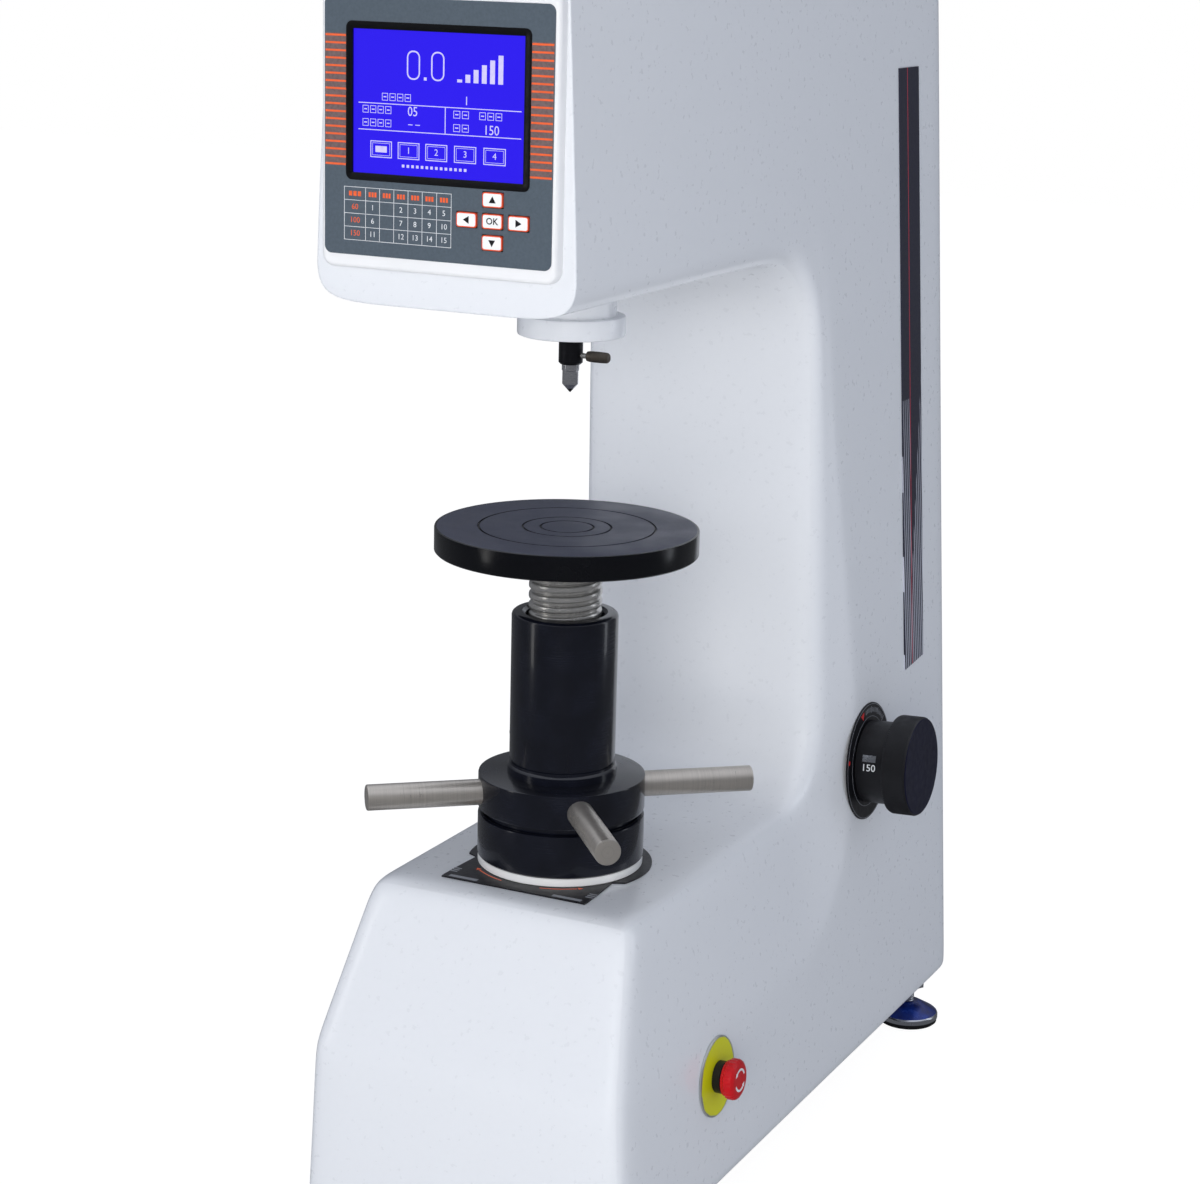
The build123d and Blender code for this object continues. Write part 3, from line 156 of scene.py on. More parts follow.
# ---------------------------------------------------------------- materials
class Number:
    """A shader value that can be used in sums."""

    def __init__(self, finish, socket):
        self.finish, self.socket = finish, socket

    def maths(self, operation, *values):
        inputs = dict(enumerate(values))
        made = self.finish.node("ShaderNodeMath", {"operation": operation}, inputs)
        return Number(self.finish, made.outputs[0])

    def __add__(self, other):
        return self.maths("ADD", self, other)

    def __sub__(self, other):
        return self.maths("SUBTRACT", self, other)

    def __mul__(self, other):
        return self.maths("MULTIPLY", self, other)

    def __rsub__(self, other):
        return self.maths("SUBTRACT", other, self)

    def __gt__(self, other):
        return self.maths("GREATER_THAN", self, other)

    def __lt__(self, other):
        return self.maths("LESS_THAN", self, other)

    def __mod__(self, other):
        return self.maths("FLOORED_MODULO", self, other)

    def __abs__(self):
        return self.maths("ABSOLUTE", self)


class Finish:
    """A procedural material being made: its nodes and its shader."""

    def __init__(self, name, base, **constants):
        self.material = bpy.data.materials.new(name)
        self.material.use_nodes = True
        self.tree = self.material.node_tree
        self.shader = self.tree.nodes["Principled BSDF"]
        self.base = tuple(base)
        self.shader.inputs["Base Color"].default_value = self.base
        for key, value in constants.items():
            self.shader.inputs[key.replace("_", " ").title().replace("Ior", "IOR")].default_value = value
        self.place = self.node("ShaderNodeTexCoord").outputs["Object"]

    def node(self, kind, settings=None, inputs=None):
        """Any node: its settings first, then the values or links of its sockets."""
        made = self.tree.nodes.new(kind)
        for key, value in (settings or {}).items():
            setattr(made, key, value)
        for key, value in (inputs or {}).items():
            if isinstance(value, Number):
                value = value.socket
            if isinstance(value, bpy.types.NodeSocket):
                self.tree.links.new(value, made.inputs[key])
            else:
                made.inputs[key].default_value = value
        return made

    def set(self, socket, value):
        value = value.socket if isinstance(value, Number) else value
        self.tree.links.new(value, self.shader.inputs[socket])

    def axes(self, vector=None):
        """The x, y and z of a vector as values, in its own unit."""
        made = self.node("ShaderNodeSeparateXYZ", None, {0: vector or self.place})
        return [Number(self, made.outputs[i]) for i in range(3)]

    def local(self):
        """Millimetres from the spindle's axis at the bench, as x, y and z."""
        moved = self.node(
            "ShaderNodeMapping", {"vector_type": "POINT"},
            {0: self.place, 1: -1000 * SPINDLE, 3: (1000, 1000, 1000)},
        )
        return self.axes(moved.outputs[0])

    def lathe(self):
        """How far a point is from its turned piece's axis and along it, in millimetres."""
        made = self.node("ShaderNodeAttribute", {"attribute_name": "lathe"})
        return made.outputs["Vector"]

    def noise(self, scale, vector=None, detail=2.0, roughness=0.5, stretch=None):
        """Cloudy noise from 0 to 1."""
        vector = vector or self.place
        if stretch:
            moved = self.node("ShaderNodeMapping", None, {0: vector, 3: stretch})
            vector = moved.outputs[0]
        made = self.node(
            "ShaderNodeTexNoise", None,
            {"Vector": vector, "Scale": scale, "Detail": detail, "Roughness": roughness},
        )
        return Number(self, made.outputs[0])

    def spread(self, value, low, high, to_low=0.0, to_high=1.0):
        """A value's range laid over another range, without going past it."""
        made = self.node(
            "ShaderNodeMapRange", {"clamp": True}, {0: value, 1: low, 2: high, 3: to_low, 4: to_high}
        )
        return Number(self, made.outputs[0])

    def blend(self, mask, first, second):
        """The first colour where the mask is 0 and the second where it is 1."""
        made = self.node(
            "ShaderNodeMix", {"data_type": "RGBA"}, {0: mask, 6: first, 7: second}
        )
        return made.outputs[2]

    def shade(self, amount):
        """The base colour made darker or lighter by a share."""
        return (*[min(1.0, c * amount) for c in self.base[:3]], 1.0)

    def bump(self, height, strength, distance=0.001):
        made = self.node(
            "ShaderNodeBump", None, {"Height": height, "Strength": strength, "Distance": distance}
        )
        self.set("Normal", made.outputs[0])

    def clouds(self, scale, low, high, colour_span):
        """Uneven colour and roughness, as on any handled surface."""
        mask = self.spread(self.noise(scale, detail=4), 0.35, 0.65)
        self.set("Base Color", self.blend(mask, self.shade(1 - colour_span), self.shade(1 + colour_span)))
        self.set("Roughness", self.spread(self.noise(scale * 2.7, detail=5), 0.3, 0.7, low, high))


FINISHES = {}


def finish(name):
    """The material of a name, made the first time that a piece needs it."""
    if name not in FINISHES:
        FINISHES[name] = RECIPES[name](name).material
    return FINISHES[name]


def enamel(name):
    """Glossy white paint with the faint orange peel of a sprayed casting."""
    made = Finish(name, colours().enamel, coat_weight=0.35, coat_roughness=0.06)
    peel = made.noise(260, detail=3)
    made.set("Base Color", made.blend(made.spread(peel, 0.2, 0.8), made.shade(0.985), made.base))
    made.set("Roughness", made.spread(peel, 0.2, 0.8, 0.26, 0.32))
    made.bump(peel, 0.03, 0.0002)
    return made


def pale_paint(name):
    made = Finish(name, colours().enamel, coat_weight=0.15, coat_roughness=0.2)
    made.clouds(18, 0.34, 0.46, colour_span=0.012)
    made.bump(made.noise(900, detail=3), 0.16, 0.0004)
    return made


def bezel_plastic(name):
    made = Finish(name, paint(240, 240, 240), coat_weight=0.1, coat_roughness=0.2)
    made.clouds(40, 0.28, 0.36, colour_span=0.01)
    made.bump(made.noise(1500), 0.1, 0.0003)
    return made


def pale_plastic(name):
    made = Finish(name, paint(238, 238, 236))
    made.clouds(60, 0.3, 0.42, colour_span=0.012)
    made.bump(made.noise(1100), 0.08, 0.0003)
    return made


def panel_film(name):
    """Slate polycarbonate film, finely textured, with brown-grey ground behind the stripes."""
    made = Finish(name, colours().film, specular_ior_level=0.15)
    x, _, z = made.local()
    band = (abs(x) > 52.0) * (abs(x) < 64.7) * (z > 631.5) * (z < 697.3)
    grain = made.noise(700, detail=4)
    slate = made.blend(made.spread(grain, 0.3, 0.7), made.shade(0.93), made.shade(1.07))
    ground = made.blend(made.spread(grain, 0.3, 0.7), paint(106, 88, 88), paint(122, 104, 102))
    made.set("Base Color", made.blend(band, slate, ground))
    made.set("Roughness", made.spread(grain, 0.3, 0.7, 0.38, 0.5))
    made.bump(grain, 0.12, 0.0002)
    return made


def printed(colour_value, low=0.35, high=0.5):
    """A screen-printed ink of one colour."""

    def recipe(name):
        made = Finish(name, colour_value())
        made.clouds(300, low, high, colour_span=0.05)
        made.bump(made.noise(1400, detail=3), 0.08, 0.0002)
        return made

    return recipe


def lit_screen(name):
    """A backlit blue display with its fine dot grid."""
    blue = colours().screen
    dark = (*[0.08 * c for c in blue[:3]], 1)
    made = Finish(name, dark, emission_strength=0.92, roughness=0.3, specular_ior_level=0.12)
    x, _, z = made.local()
    dots = ((x % 0.42) > 0.05) * ((z % 0.42) > 0.05)
    glow = made.spread(made.noise(14, detail=1), 0.3, 0.7)
    lit = made.blend(glow, (*[0.94 * c for c in blue[:3]], 1), tuple(blue))
    made.set("Emission Color", made.blend(dots, (*[0.8 * c for c in blue[:3]], 1), lit))
    return made


def lit_marks(name):
    pale = colours().marks
    made = Finish(name, (*[0.2 * c for c in pale[:3]], 1), emission_strength=0.85, roughness=0.4)
    glow = made.spread(made.noise(300), 0.3, 0.7)
    made.set("Emission Color", made.blend(glow, (*[0.85 * c for c in pale[:3]], 1), tuple(pale)))
    return made


def anodised(name):
    """Glossy blue-black, turned: fine rings under the gloss and faint handling marks."""
    made = Finish(
        name, colours().anodised, coat_weight=0.35, coat_roughness=0.05, specular_ior_level=0.35
    )
    rings = made.noise(1.0, made.lathe(), detail=5, roughness=0.7, stretch=(2.2, 2.2, 0.3))
    handling = made.noise(55, detail=5)
    made.set("Base Color", made.blend(made.spread(handling, 0.4, 0.7), made.base, made.shade(1.7)))
    made.set("Roughness", made.spread(rings * 0.6 + handling * 0.4, 0.35, 0.65, 0.16, 0.3))
    made.bump(rings, 0.14, 0.0002)
    return made


def table_black(name):
    """Dark slate satin of the ground table top, with a glossy edge and painted shade in its grooves."""
    made = Finish(name, paint(40, 42, 52), specular_ior_level=0.35)
    radius, height, _ = made.axes(made.lathe())
    rings = made.noise(1.0, made.lathe(), detail=4, roughness=0.7, stretch=(1.6, 0.2, 0.1))
    # The rim and the grooves are coloured near black; in the grooves this is painted shade.
    edge = radius > 73.6
    groove_shade = (height < 421.93) * (radius < 73.0)
    top = made.blend(made.spread(rings, 0.3, 0.7), paint(56, 59, 74), paint(64, 67, 84))
    made.set("Base Color", made.blend(edge + groove_shade, top, paint(6, 7, 11)))
    worn = made.spread(made.noise(40, detail=6), 0.35, 0.65, 0.38, 0.5)
    made.set("Roughness", worn - edge * 0.22)
    made.bump(rings, 0.1, 0.0002)
    return made


def steel(base, low, high, ring_scale=2.0, ring_bump=0.25, metallic=0.85):
    """Turned bare steel: rings round the piece's own axis, uneven shine."""

    def recipe(name):
        made = Finish(name, base())
        made.shader.inputs["Metallic"].default_value = metallic
        rings = made.noise(
            1.0, made.lathe(), detail=6, roughness=0.75, stretch=(ring_scale, ring_scale, 0.15)
        )
        mask = made.spread(rings, 0.3, 0.7)
        made.set("Base Color", made.blend(mask, made.shade(0.8), made.shade(1.12)))
        made.set("Roughness", made.spread(made.noise(120, detail=4) * 0.5 + rings * 0.5, 0.3, 0.7, low, high))
        made.bump(rings, ring_bump, 0.0003)
        return made

    return recipe


def plain_steel(base, low, high, metallic=1.0, scale=60):
    """Steel that isn't turned: rolled, cast or plated, with cloudy shine."""

    def recipe(name):
        made = Finish(name, base())
        made.shader.inputs["Metallic"].default_value = metallic
        made.clouds(scale, low, high, colour_span=0.1)
        made.bump(made.noise(scale * 12, detail=4), 0.15, 0.0003)
        return made

    return recipe


def moulded(base, low, high, span=0.08, grain=1200, depth=0.12, shine=0.3):
    """Moulded plastic or rubber with a fine grain."""

    def recipe(name):
        made = Finish(name, base(), specular_ior_level=shine)
        made.clouds(90, low, high, colour_span=span)
        made.bump(made.noise(grain, detail=3), depth, 0.0003)
        return made

    return recipe


def strip_film(name):
    """The side strip's navy film: one crimson line, and fine steep lines that fan out low down."""
    made = Finish(name, paint(34, 34, 52))
    _, y, z = made.local()
    across = (BODY_BACK + BACK_LEAN * BODY_BOTTOM - 46.0) - z * BACK_LEAN - y
    grain = made.noise(400, detail=3)
    ground = made.blend(made.spread(grain, 0.3, 0.7), paint(31, 31, 47), paint(38, 38, 58))
    drift = across - (z - 274) * 0.052
    hatch = (drift % 3.5) < 1.25
    front = (across > 21.8) * (z < 455)
    rear = (across < 20.6) * ((z + across * 6.5) < 470)
    fade = made.spread(z, 330, 470, 1.0, 0.45)
    lines = made.blend(hatch * (front + rear) * fade, ground, paint(196, 198, 210))
    crimson = (across > 20.7) * (across < 21.7)
    made.set("Base Color", made.blend(crimson, lines, paint(196, 40, 66)))
    made.set("Roughness", made.spread(grain, 0.3, 0.7, 0.3, 0.42))
    made.bump(grain, 0.06, 0.0002)
    return made


def foot_metal(name):
    """A plated foot disc with a blue protective film left on its top."""
    made = Finish(name, paint(190, 192, 198))
    radius, height, _ = made.axes(made.lathe())
    film = (height > 6.9) * (radius < 20.4)
    wrinkle = made.noise(110, detail=4)
    blue = made.blend(made.spread(wrinkle, 0.35, 0.65), paint(6, 20, 84), paint(16, 50, 138))
    made.set("Base Color", made.blend(film, made.base, blue))
    made.set("Metallic", 1.0 - film * 0.8)
    made.set("Roughness", made.spread(wrinkle, 0.3, 0.7, 0.16, 0.32))
    made.bump(wrinkle, 0.3, 0.0004)
    return made


def stop_plate_yellow(name):
    """The stop button's yellow plate, rubbed to bare metal at its rim."""
    made = Finish(name, colours().stop_yellow)
    radius, _, _ = made.axes(made.lathe())
    rubbed = made.noise(130, detail=6)
    rim = made.spread(radius + rubbed * 3.4, 24.4, 24.9)
    made.set("Base Color", made.blend(rim, made.base, paint(196, 198, 196)))
    made.set("Metallic", rim * 0.85)
    made.set("Roughness", made.spread(rubbed, 0.3, 0.7, 0.32, 0.45))
    made.bump(rubbed, 0.05, 0.0002)
    return made


def floor_white(name):
    """A white floor with a faint shadow. Seen straight it is nearly white; to what shines it is dim."""
    made = Finish(name, (0.86, 0.86, 0.86, 1), roughness=0.9)
    tone = made.blend(made.spread(made.noise(2.0), 0.3, 0.7), (0.84, 0.84, 0.84, 1), made.base)
    made.set("Base Color", tone)
    light = made.node("ShaderNodeEmission", None, {0: (1, 1, 1, 1), 1: 1.18})
    path = made.node("ShaderNodeLightPath")
    rays = [Number(made, path.outputs[k]) for k in ("Is Camera Ray", "Is Transmission Ray")]
    seen = (rays[0] + rays[1]) > 0.5
    output = made.tree.nodes["Material Output"]
    mixed = made.node(
        "ShaderNodeMixShader", None, {0: seen * 0.8, 1: made.shader.outputs[0], 2: light.outputs[0]}
    )
    dim = made.node("ShaderNodeEmission", None, {0: (0.9, 0.93, 1, 1), 1: 0.16})
    whole = made.node(
        "ShaderNodeMixShader", None,
        {0: path.outputs["Is Glossy Ray"], 1: mixed.outputs[0], 2: dim.outputs[0]},
    )
    made.tree.links.new(whole.outputs[0], output.inputs["Surface"])
    return made


RECIPES = {
    "enamel": enamel,
    "pale_paint": pale_paint,
    "bezel_plastic": bezel_plastic,
    "pale_plastic": pale_plastic,
    "panel_film": panel_film,
    "stripe_ink": printed(lambda: colours().stripe),
    "white_ink": printed(lambda: paint(226, 228, 230)),
    "grey_ink": printed(lambda: paint(150, 152, 158)),
    "red_ink": printed(lambda: paint(214, 40, 40)),
    "dark_ink": printed(lambda: paint(20, 20, 24)),
    "lit_screen": lit_screen,
    "lit_marks": lit_marks,
    "key_white": moulded(lambda: paint(244, 244, 242), 0.35, 0.45, span=0.01),
    "key_edge": moulded(lambda: paint(232, 84, 48), 0.35, 0.45, span=0.04),
    "frame_black": moulded(lambda: paint(9, 9, 12), 0.28, 0.4),
    "black_moulding": moulded(lambda: paint(24, 24, 27), 0.35, 0.5),
    "label_black": moulded(lambda: paint(20, 20, 25), 0.3, 0.42),
    "knob_black": moulded(lambda: paint(23, 23, 26), 0.38, 0.52),
    "knob_face": moulded(lambda: paint(12, 14, 40), 0.3, 0.42, shine=0.2),
    "anodised": anodised,
    "table_black": table_black,
    "bright_steel": steel(lambda: colours().steel, 0.16, 0.3),
    "turned_steel": steel(
        lambda: paint(186, 180, 172), 0.24, 0.4, ring_scale=2.6, ring_bump=0.2, metallic=0.72
    ),
    "ground_steel": steel(lambda: paint(196, 196, 200), 0.08, 0.16, ring_bump=0.08, metallic=0.9),
    "black_steel": steel(lambda: paint(44, 44, 48), 0.25, 0.4),
    "knurled_steel": steel(lambda: paint(112, 104, 96), 0.3, 0.42),
    "carbide": steel(lambda: paint(58, 56, 58), 0.2, 0.35),
    "plated": plain_steel(lambda: paint(186, 188, 192), 0.22, 0.36),
    "spring_steel": plain_steel(lambda: paint(150, 150, 154), 0.25, 0.4),
    "bronze": plain_steel(lambda: paint(176, 136, 84), 0.3, 0.45),
    "cast_weights": plain_steel(lambda: paint(92, 94, 98), 0.5, 0.65, metallic=0.4, scale=30),
    "cast_fittings": plain_steel(lambda: paint(128, 130, 132), 0.45, 0.6, metallic=0.5, scale=30),
    "motor_grey": plain_steel(lambda: paint(70, 72, 78), 0.4, 0.55, metallic=0.3, scale=40),
    "unit_case": moulded(lambda: paint(176, 180, 176), 0.45, 0.6, span=0.04),
    "board_green": moulded(lambda: paint(22, 84, 48), 0.35, 0.5, grain=500),
    "sole_rubber": moulded(lambda: paint(18, 18, 19), 0.6, 0.75, depth=0.3),
    # Painted shade: the dark sheet seen through the rear vents.
    "vent_painted_shade": moulded(lambda: paint(10, 10, 11), 0.7, 0.8),
    "strip_film": strip_film,
    "foot_metal": foot_metal,
    "stop_red": moulded(lambda: colours().stop_red, 0.28, 0.4, span=0.05),
    "stop_plate_yellow": stop_plate_yellow,
    "floor_white": floor_white,
}


# ---------------------------------------------------------------- making pieces
def piece(bm, name, body, finishes, place=None, replaces=(), smooth=35, levels=0):
    """Puts a mesh drawn in millimetres into the frame as a finished piece on a body."""
    bm.transform(TO_FRAME @ (place or Matrix()))
    mesh = bpy.data.meshes.new(name)
    bm.to_mesh(mesh)
    bm.free()
    for name_of_finish in finishes:
        mesh.materials.append(finish(name_of_finish))
    mesh.shade_smooth()
    mesh.set_sharp_from_angle(angle=radians(smooth))
    made = bpy.data.objects.new(name, mesh)
    bpy.context.scene.collection.objects.link(made)
    if levels:
        modifier = made.modifiers.new("Soft edges", "SUBSURF")
        modifier.levels = modifier.render_levels = levels
    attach(made, body)
    if replaces:
        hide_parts(*replaces)
    return made


def close_up(bm, weld=0.0005):
    """Merges doubles and points every face outwards."""
    bmesh.ops.remove_doubles(bm, verts=bm.verts, dist=weld)
    bmesh.ops.recalc_face_normals(bm, faces=bm.faces)


def chain(bm, points, closed=False):
    """Vertices joined by edges, in order."""
    verts = [bm.verts.new(p) for p in points]
    pairs = zip(verts, verts[1:] + verts[:1] if closed else verts[1:])
    return verts, [bm.edges.new(pair) for pair in pairs]


def mark_lathe(bm):
    """Keeps how far each point is from the turning axis and along it, for ring patterns."""
    layer = bm.verts.layers.float_vector.new("lathe")
    for v in bm.verts:
        v[layer] = (hypot(v.co.x, v.co.y), v.co.z, 0)


def turned(profile, steps=96, closed=False):
    """A turned solid from its half section, given as radius and height. A closed section is a ring."""
    bm = bmesh.new()
    verts, edges = chain(bm, [(r, 0, z) for r, z in profile], closed)
    bmesh.ops.spin(
        bm, geom=verts + edges, cent=(0, 0, 0), axis=(0, 0, 1), angle=2 * pi, steps=steps,
        use_merge=True,
    )
    close_up(bm)
    mark_lathe(bm)
    return bm


def turned_piece(profile, steps, name, body, slot, look, node, ring=False, place=None, smooth=30):
    """A turned piece of one finish that stands for one node."""
    return piece(turned(profile, steps, ring), name, body, [look], place, [node], smooth)


def joined(parts):
    """One mesh from several, each with the matrix that places it."""
    whole = bmesh.new()
    for bm, place in parts:
        bm.transform(place)
        mesh = bpy.data.meshes.new("part")
        bm.to_mesh(mesh)
        bm.free()
        whole.from_mesh(mesh)
        bpy.data.meshes.remove(mesh)
    return whole


def block(bm, x, y, z, material=0):
    """A box between two limits on each axis."""
    middle = Vector([(a + b) / 2 for a, b in (x, y, z)])
    size = [b - a for a, b in (x, y, z)]
    made = bmesh.ops.create_cube(
        bm, size=1, matrix=Matrix.Translation(middle) @ Matrix.Diagonal((*size, 1))
    )
    for face in {f for v in made["verts"] for f in v.link_faces}:
        face.material_index = material
    return made["verts"]


def rounded_block(bm, x, y, z, corner, rim=0.0, segments=5, material=0):
    """A box whose four upright edges are rounded, and its upper rim as well."""
    verts = block(bm, x, y, z, material)
    upright = {
        e
        for v in verts
        for e in v.link_edges
        if abs(e.verts[0].co.z - e.verts[1].co.z) > 1e-6
    }
    made = bmesh.ops.bevel(
        bm, geom=list(upright), offset=corner, segments=segments, profile=0.5, affect="EDGES",
        material=-1,
    )
    if rim:
        top = {
            e
            for f in made["faces"]
            for e in f.edges
            if all(abs(v.co.z - z[1]) < 1e-6 for v in e.verts)
        }
        top |= {
            e
            for v in {v for e in top for v in e.verts}
            for e in v.link_edges
            if all(abs(w.co.z - z[1]) < 1e-6 for w in e.verts)
        }
        bmesh.ops.bevel(
            bm, geom=list(top), offset=rim, segments=3, profile=0.5, affect="EDGES", material=-1,
        )


def prism(bm, centre, radius, sides, z, turn=0.0, material=0):
    """An upright prism with equal sides, or a disc with many. One corner points along the turn."""
    height = z[1] - z[0]
    place = Matrix.Translation((*centre, z[0] + height / 2))
    place @= Matrix.Rotation(turn - pi / 2, 4, "Z")
    made = bmesh.ops.create_cone(
        bm, cap_ends=True, segments=sides, radius1=radius, radius2=radius, depth=height, matrix=place,
    )
    for face in {f for v in made["verts"] for f in v.link_faces}:
        face.material_index = material


def arc_band(bm, centre, inner, outer, start, sweep, z, material=0, steps=24):
    """Part of a flat ring, from a start angle through a sweep."""
    spot = Matrix.Translation((*centre, 0)) @ Matrix.Rotation(start, 4, "Z")
    corners = [(inner, z[0]), (outer, z[0]), (outer, z[1]), (inner, z[1])]
    verts = [bm.verts.new(spot @ Vector((r, 0, h))) for r, h in corners]
    face = bm.faces.new(verts)
    made = bmesh.ops.spin(
        bm, geom=[face, *face.edges, *verts], cent=(*centre, 0), axis=(0, 0, 1), angle=sweep,
        steps=steps, use_merge=False,
    )
    faces = {face, *[g for g in made["geom_last"] if isinstance(g, bmesh.types.BMFace)]}
    reached = {f for v in verts for f in v.link_faces}
    while reached - faces:
        faces |= reached
        reached = {f for g in faces for v in g.verts for f in v.link_faces}
    for made_face in faces:
        made_face.material_index = material
    bmesh.ops.recalc_face_normals(bm, faces=list(faces))


def outline(x, y, corner, segments=6):
    """The points of a rectangle with rounded corners, anticlockwise."""
    centres = [
        (x[1] - corner, y[1] - corner, 0), (x[0] + corner, y[1] - corner, 1),
        (x[0] + corner, y[0] + corner, 2), (x[1] - corner, y[0] + corner, 3),
    ]
    return [
        (cx + corner * cos(turn), cy + corner * sin(turn))
        for cx, cy, quarter in centres
        for turn in [(quarter + i / segments) * pi / 2 for i in range(segments + 1)]
    ]


def bridged(bm, loops, close=False):
    """Skins a row of matching closed loops, and from the last back to the first if closed."""
    made = [chain(bm, points, closed=True)[1] for points in loops]
    pairs = list(zip(made, made[1:]))
    if close:
        pairs.append((made[-1], made[0]))
    for first, second in pairs:
        bmesh.ops.bridge_loops(bm, edges=first + second)
    return made


def ring_frame(bm, x, y, corner, section):
    """A picture-frame ring: a section of inset and height carried round a rounded rectangle."""
    loops = []
    for inset, height in section:
        points = outline(
            (x[0] + inset, x[1] - inset), (y[0] + inset, y[1] - inset), max(corner - inset, 0.4)
        )
        loops.append([(a, b, height) for a, b in points])
    bridged(bm, loops, close=True)
    bmesh.ops.recalc_face_normals(bm, faces=bm.faces)


def lettering(bm, text, centre, size, z, material=0, wide=1.0, bold=0.0):
    """Raised lettering centred on a place in the x-y plane."""
    curve = bpy.data.curves.new("lettering", "FONT")
    curve.body = text
    curve.size = size
    curve.align_x, curve.align_y = "CENTER", "CENTER"
    curve.extrude = (z[1] - z[0]) / 2
    curve.offset = bold
    curve.resolution_u = 3
    text_object = bpy.data.objects.new("lettering", curve)
    bpy.context.scene.collection.objects.link(text_object)
    bpy.context.view_layer.update()
    mesh = bpy.data.meshes.new_from_object(text_object)
    place = Matrix.Translation((*centre, (z[0] + z[1]) / 2))
    mesh.transform(place @ Matrix.Diagonal((wide, 1, 1, 1)))
    mesh.materials.clear()
    before = set(bm.faces)
    bm.from_mesh(mesh)
    for face in set(bm.faces) - before:
        face.material_index = material
    bpy.data.objects.remove(text_object)
    bpy.data.curves.remove(curve)
    bpy.data.meshes.remove(mesh)


# ---------------------------------------------------------------- the body
def stations():
    """The body's sections round its C: throat edge, side crease and outer edge as depth and height,
    then the reach of the soft edge on the throat side and on the flare."""
    base, column, head = (millimetres(k) for k in ("base_edge", "column_edge", "head_edge"))
    floor, throat_low, throat_high = [], [], []
    for y, crease, outer in (
        (-77.3, (-118.2, 131.0), (-118.2, 34)), (-57.0, (-97.0, 131.5), (-98.0, 34)),
        (20.0, (10.0, 130.0), (40.0, 34)), (96.0, (88.0, 128.8), (150.0, 34)),
    ):
        floor.append(((y, BASE_TOP), crease, outer, base, base))
    low_creases = [(138, 128.2), (163, 131), (189, 145), (212.5, 168), (229, 207), (238, 262)]
    low_outers = [(250, 34), (340, 34), (404, 34), (414.5, 34), (414.1, 45), (411, 130)]
    for i, (crease, outer) in enumerate(zip(low_creases, low_outers)):
        turn = radians(90 + COLUMN_LEAN) * i / 5
        reach = base + (column - base) * i / 5
        point = (137.5 + 48 * sin(turn), 271 - 48 * cos(turn))
        throat_low.append((point, crease, outer, reach, reach * 0.85))
    rise = []
    for z, crease, outer in (
        (320.0, (229.5, 312), (408, 230)), (402.0, (212.5, 396), (402, 390)),
        (474.0, (199.0, 470), (396, 560)),
    ):
        share = (z - BASE_TOP) / (HEAD_BOTTOM - BASE_TOP)
        y = COLUMN_FOOT + (COLUMN_HEAD - COLUMN_FOOT) * share
        rise.append(((y, z), crease, outer, column, column * 0.75))
    high_creases = [(195, 511), (193, 540), (184, 568), (165, 590), (136, 600)]
    high_outers = [(391.0, 690), (389.6, 718), (389.2, 728), (378, 728), (300, 728)]
    for i, (crease, outer) in enumerate(zip(high_creases, high_outers)):
        turn = radians(COLUMN_LEAN + (90 - COLUMN_LEAN) * i / 4)
        reach = column + (head - column) * i / 4
        point = (118.7 + 55 * cos(turn), 506 + 55 * sin(turn))
        throat_high.append((point, crease, outer, reach, reach * 0.6 if i < 4 else 30))
    head_row = [
        ((y, HEAD_BOTTOM), (y, 606.0), (y, BODY_TOP), head, 31)
        for y in (60.0, -40.0, -118.0, -137.0, -HEAD_FRONT)
    ]
    return floor + throat_low + rise + throat_high + head_row


def section(throat, crease, outer, inner_reach, flare_reach):
    """One section, from the throat face round the right side wall to the outer face and back."""
    outer_reach, rim_width = 9, 14

    def lerp(a, b, t):
        return tuple(p + (q - p) * t for p, q in zip(a, b))

    def step(a, b, distance):
        return lerp(a, b, distance / hypot(b[0] - a[0], b[1] - a[1]))

    root = min(THROAT_HALF_WIDTH + THROAT_DRAFT * (BASE_TOP - throat[1]), wall_x(throat[1]))
    edge = (root, *throat)
    fold = (wall_x(crease[1]), *crease)
    flare_length = hypot(crease[0] - throat[0], crease[1] - throat[1])
    near = lerp(edge, fold, min(flare_reach / flare_length, 0.6))
    far = lerp(edge, fold, 1 - min(15 / flare_length, 0.22))
    below = step(crease, outer, 15)
    above = step(outer, crease, outer_reach)
    rim = wall_x(outer[1])
    half = [
        (root - inner_reach, *throat), edge, near, far, fold, (wall_x(below[1]), *below),
        (wall_x(above[1]), *above), (rim, *outer), (rim - rim_width, *outer),
    ]
    return half + [(-x, y, z) for x, y, z in reversed(half)]


def body_shell():
    """The cast body as one closed soft-edged shell."""
    bm = bmesh.new()
    rings = bridged(bm, [section(*row) for row in stations()])
    face_of = {}
    for name, ring in (("base", rings[0]), ("head", rings[-1])):
        verts = []
        for edge in ring:
            for v in edge.verts:
                if v not in verts:
                    verts.append(v)
        face_of[name] = verts
    # The head's front: one flat face with a tight rim inside its outline.
    head_face = bm.faces.new(face_of["head"])
    bmesh.ops.inset_region(bm, faces=[head_face], thickness=5.0, use_even_offset=True)
    # The base's front: columns of faces beside each upright edge and between them.
    sides = {}
    for sign in (1, -1):
        row = [v for v in face_of["base"] if v.co.x * sign > 0]
        row.sort(key=lambda v: -v.co.z)
        top = min(row[:2], key=lambda v: abs(v.co.x))
        bottom = min(row[-2:], key=lambda v: abs(v.co.x))
        outer = [v for v in row if v not in (top, bottom)]
        between = [bm.verts.new((v.co.x - sign * 20, v.co.y, v.co.z)) for v in outer[1:-1]]
        inner = sides[sign] = [top, *between, bottom]
        for i in range(len(outer) - 1):
            bm.faces.new((outer[i], outer[i + 1], inner[i + 1], inner[i]))
    left, right = sides[-1], sides[1]
    for i in range(len(left) - 1):
        bm.faces.new((left[i], left[i + 1], right[i + 1], right[i]))
    bmesh.ops.recalc_face_normals(bm, faces=bm.faces)
    return bm


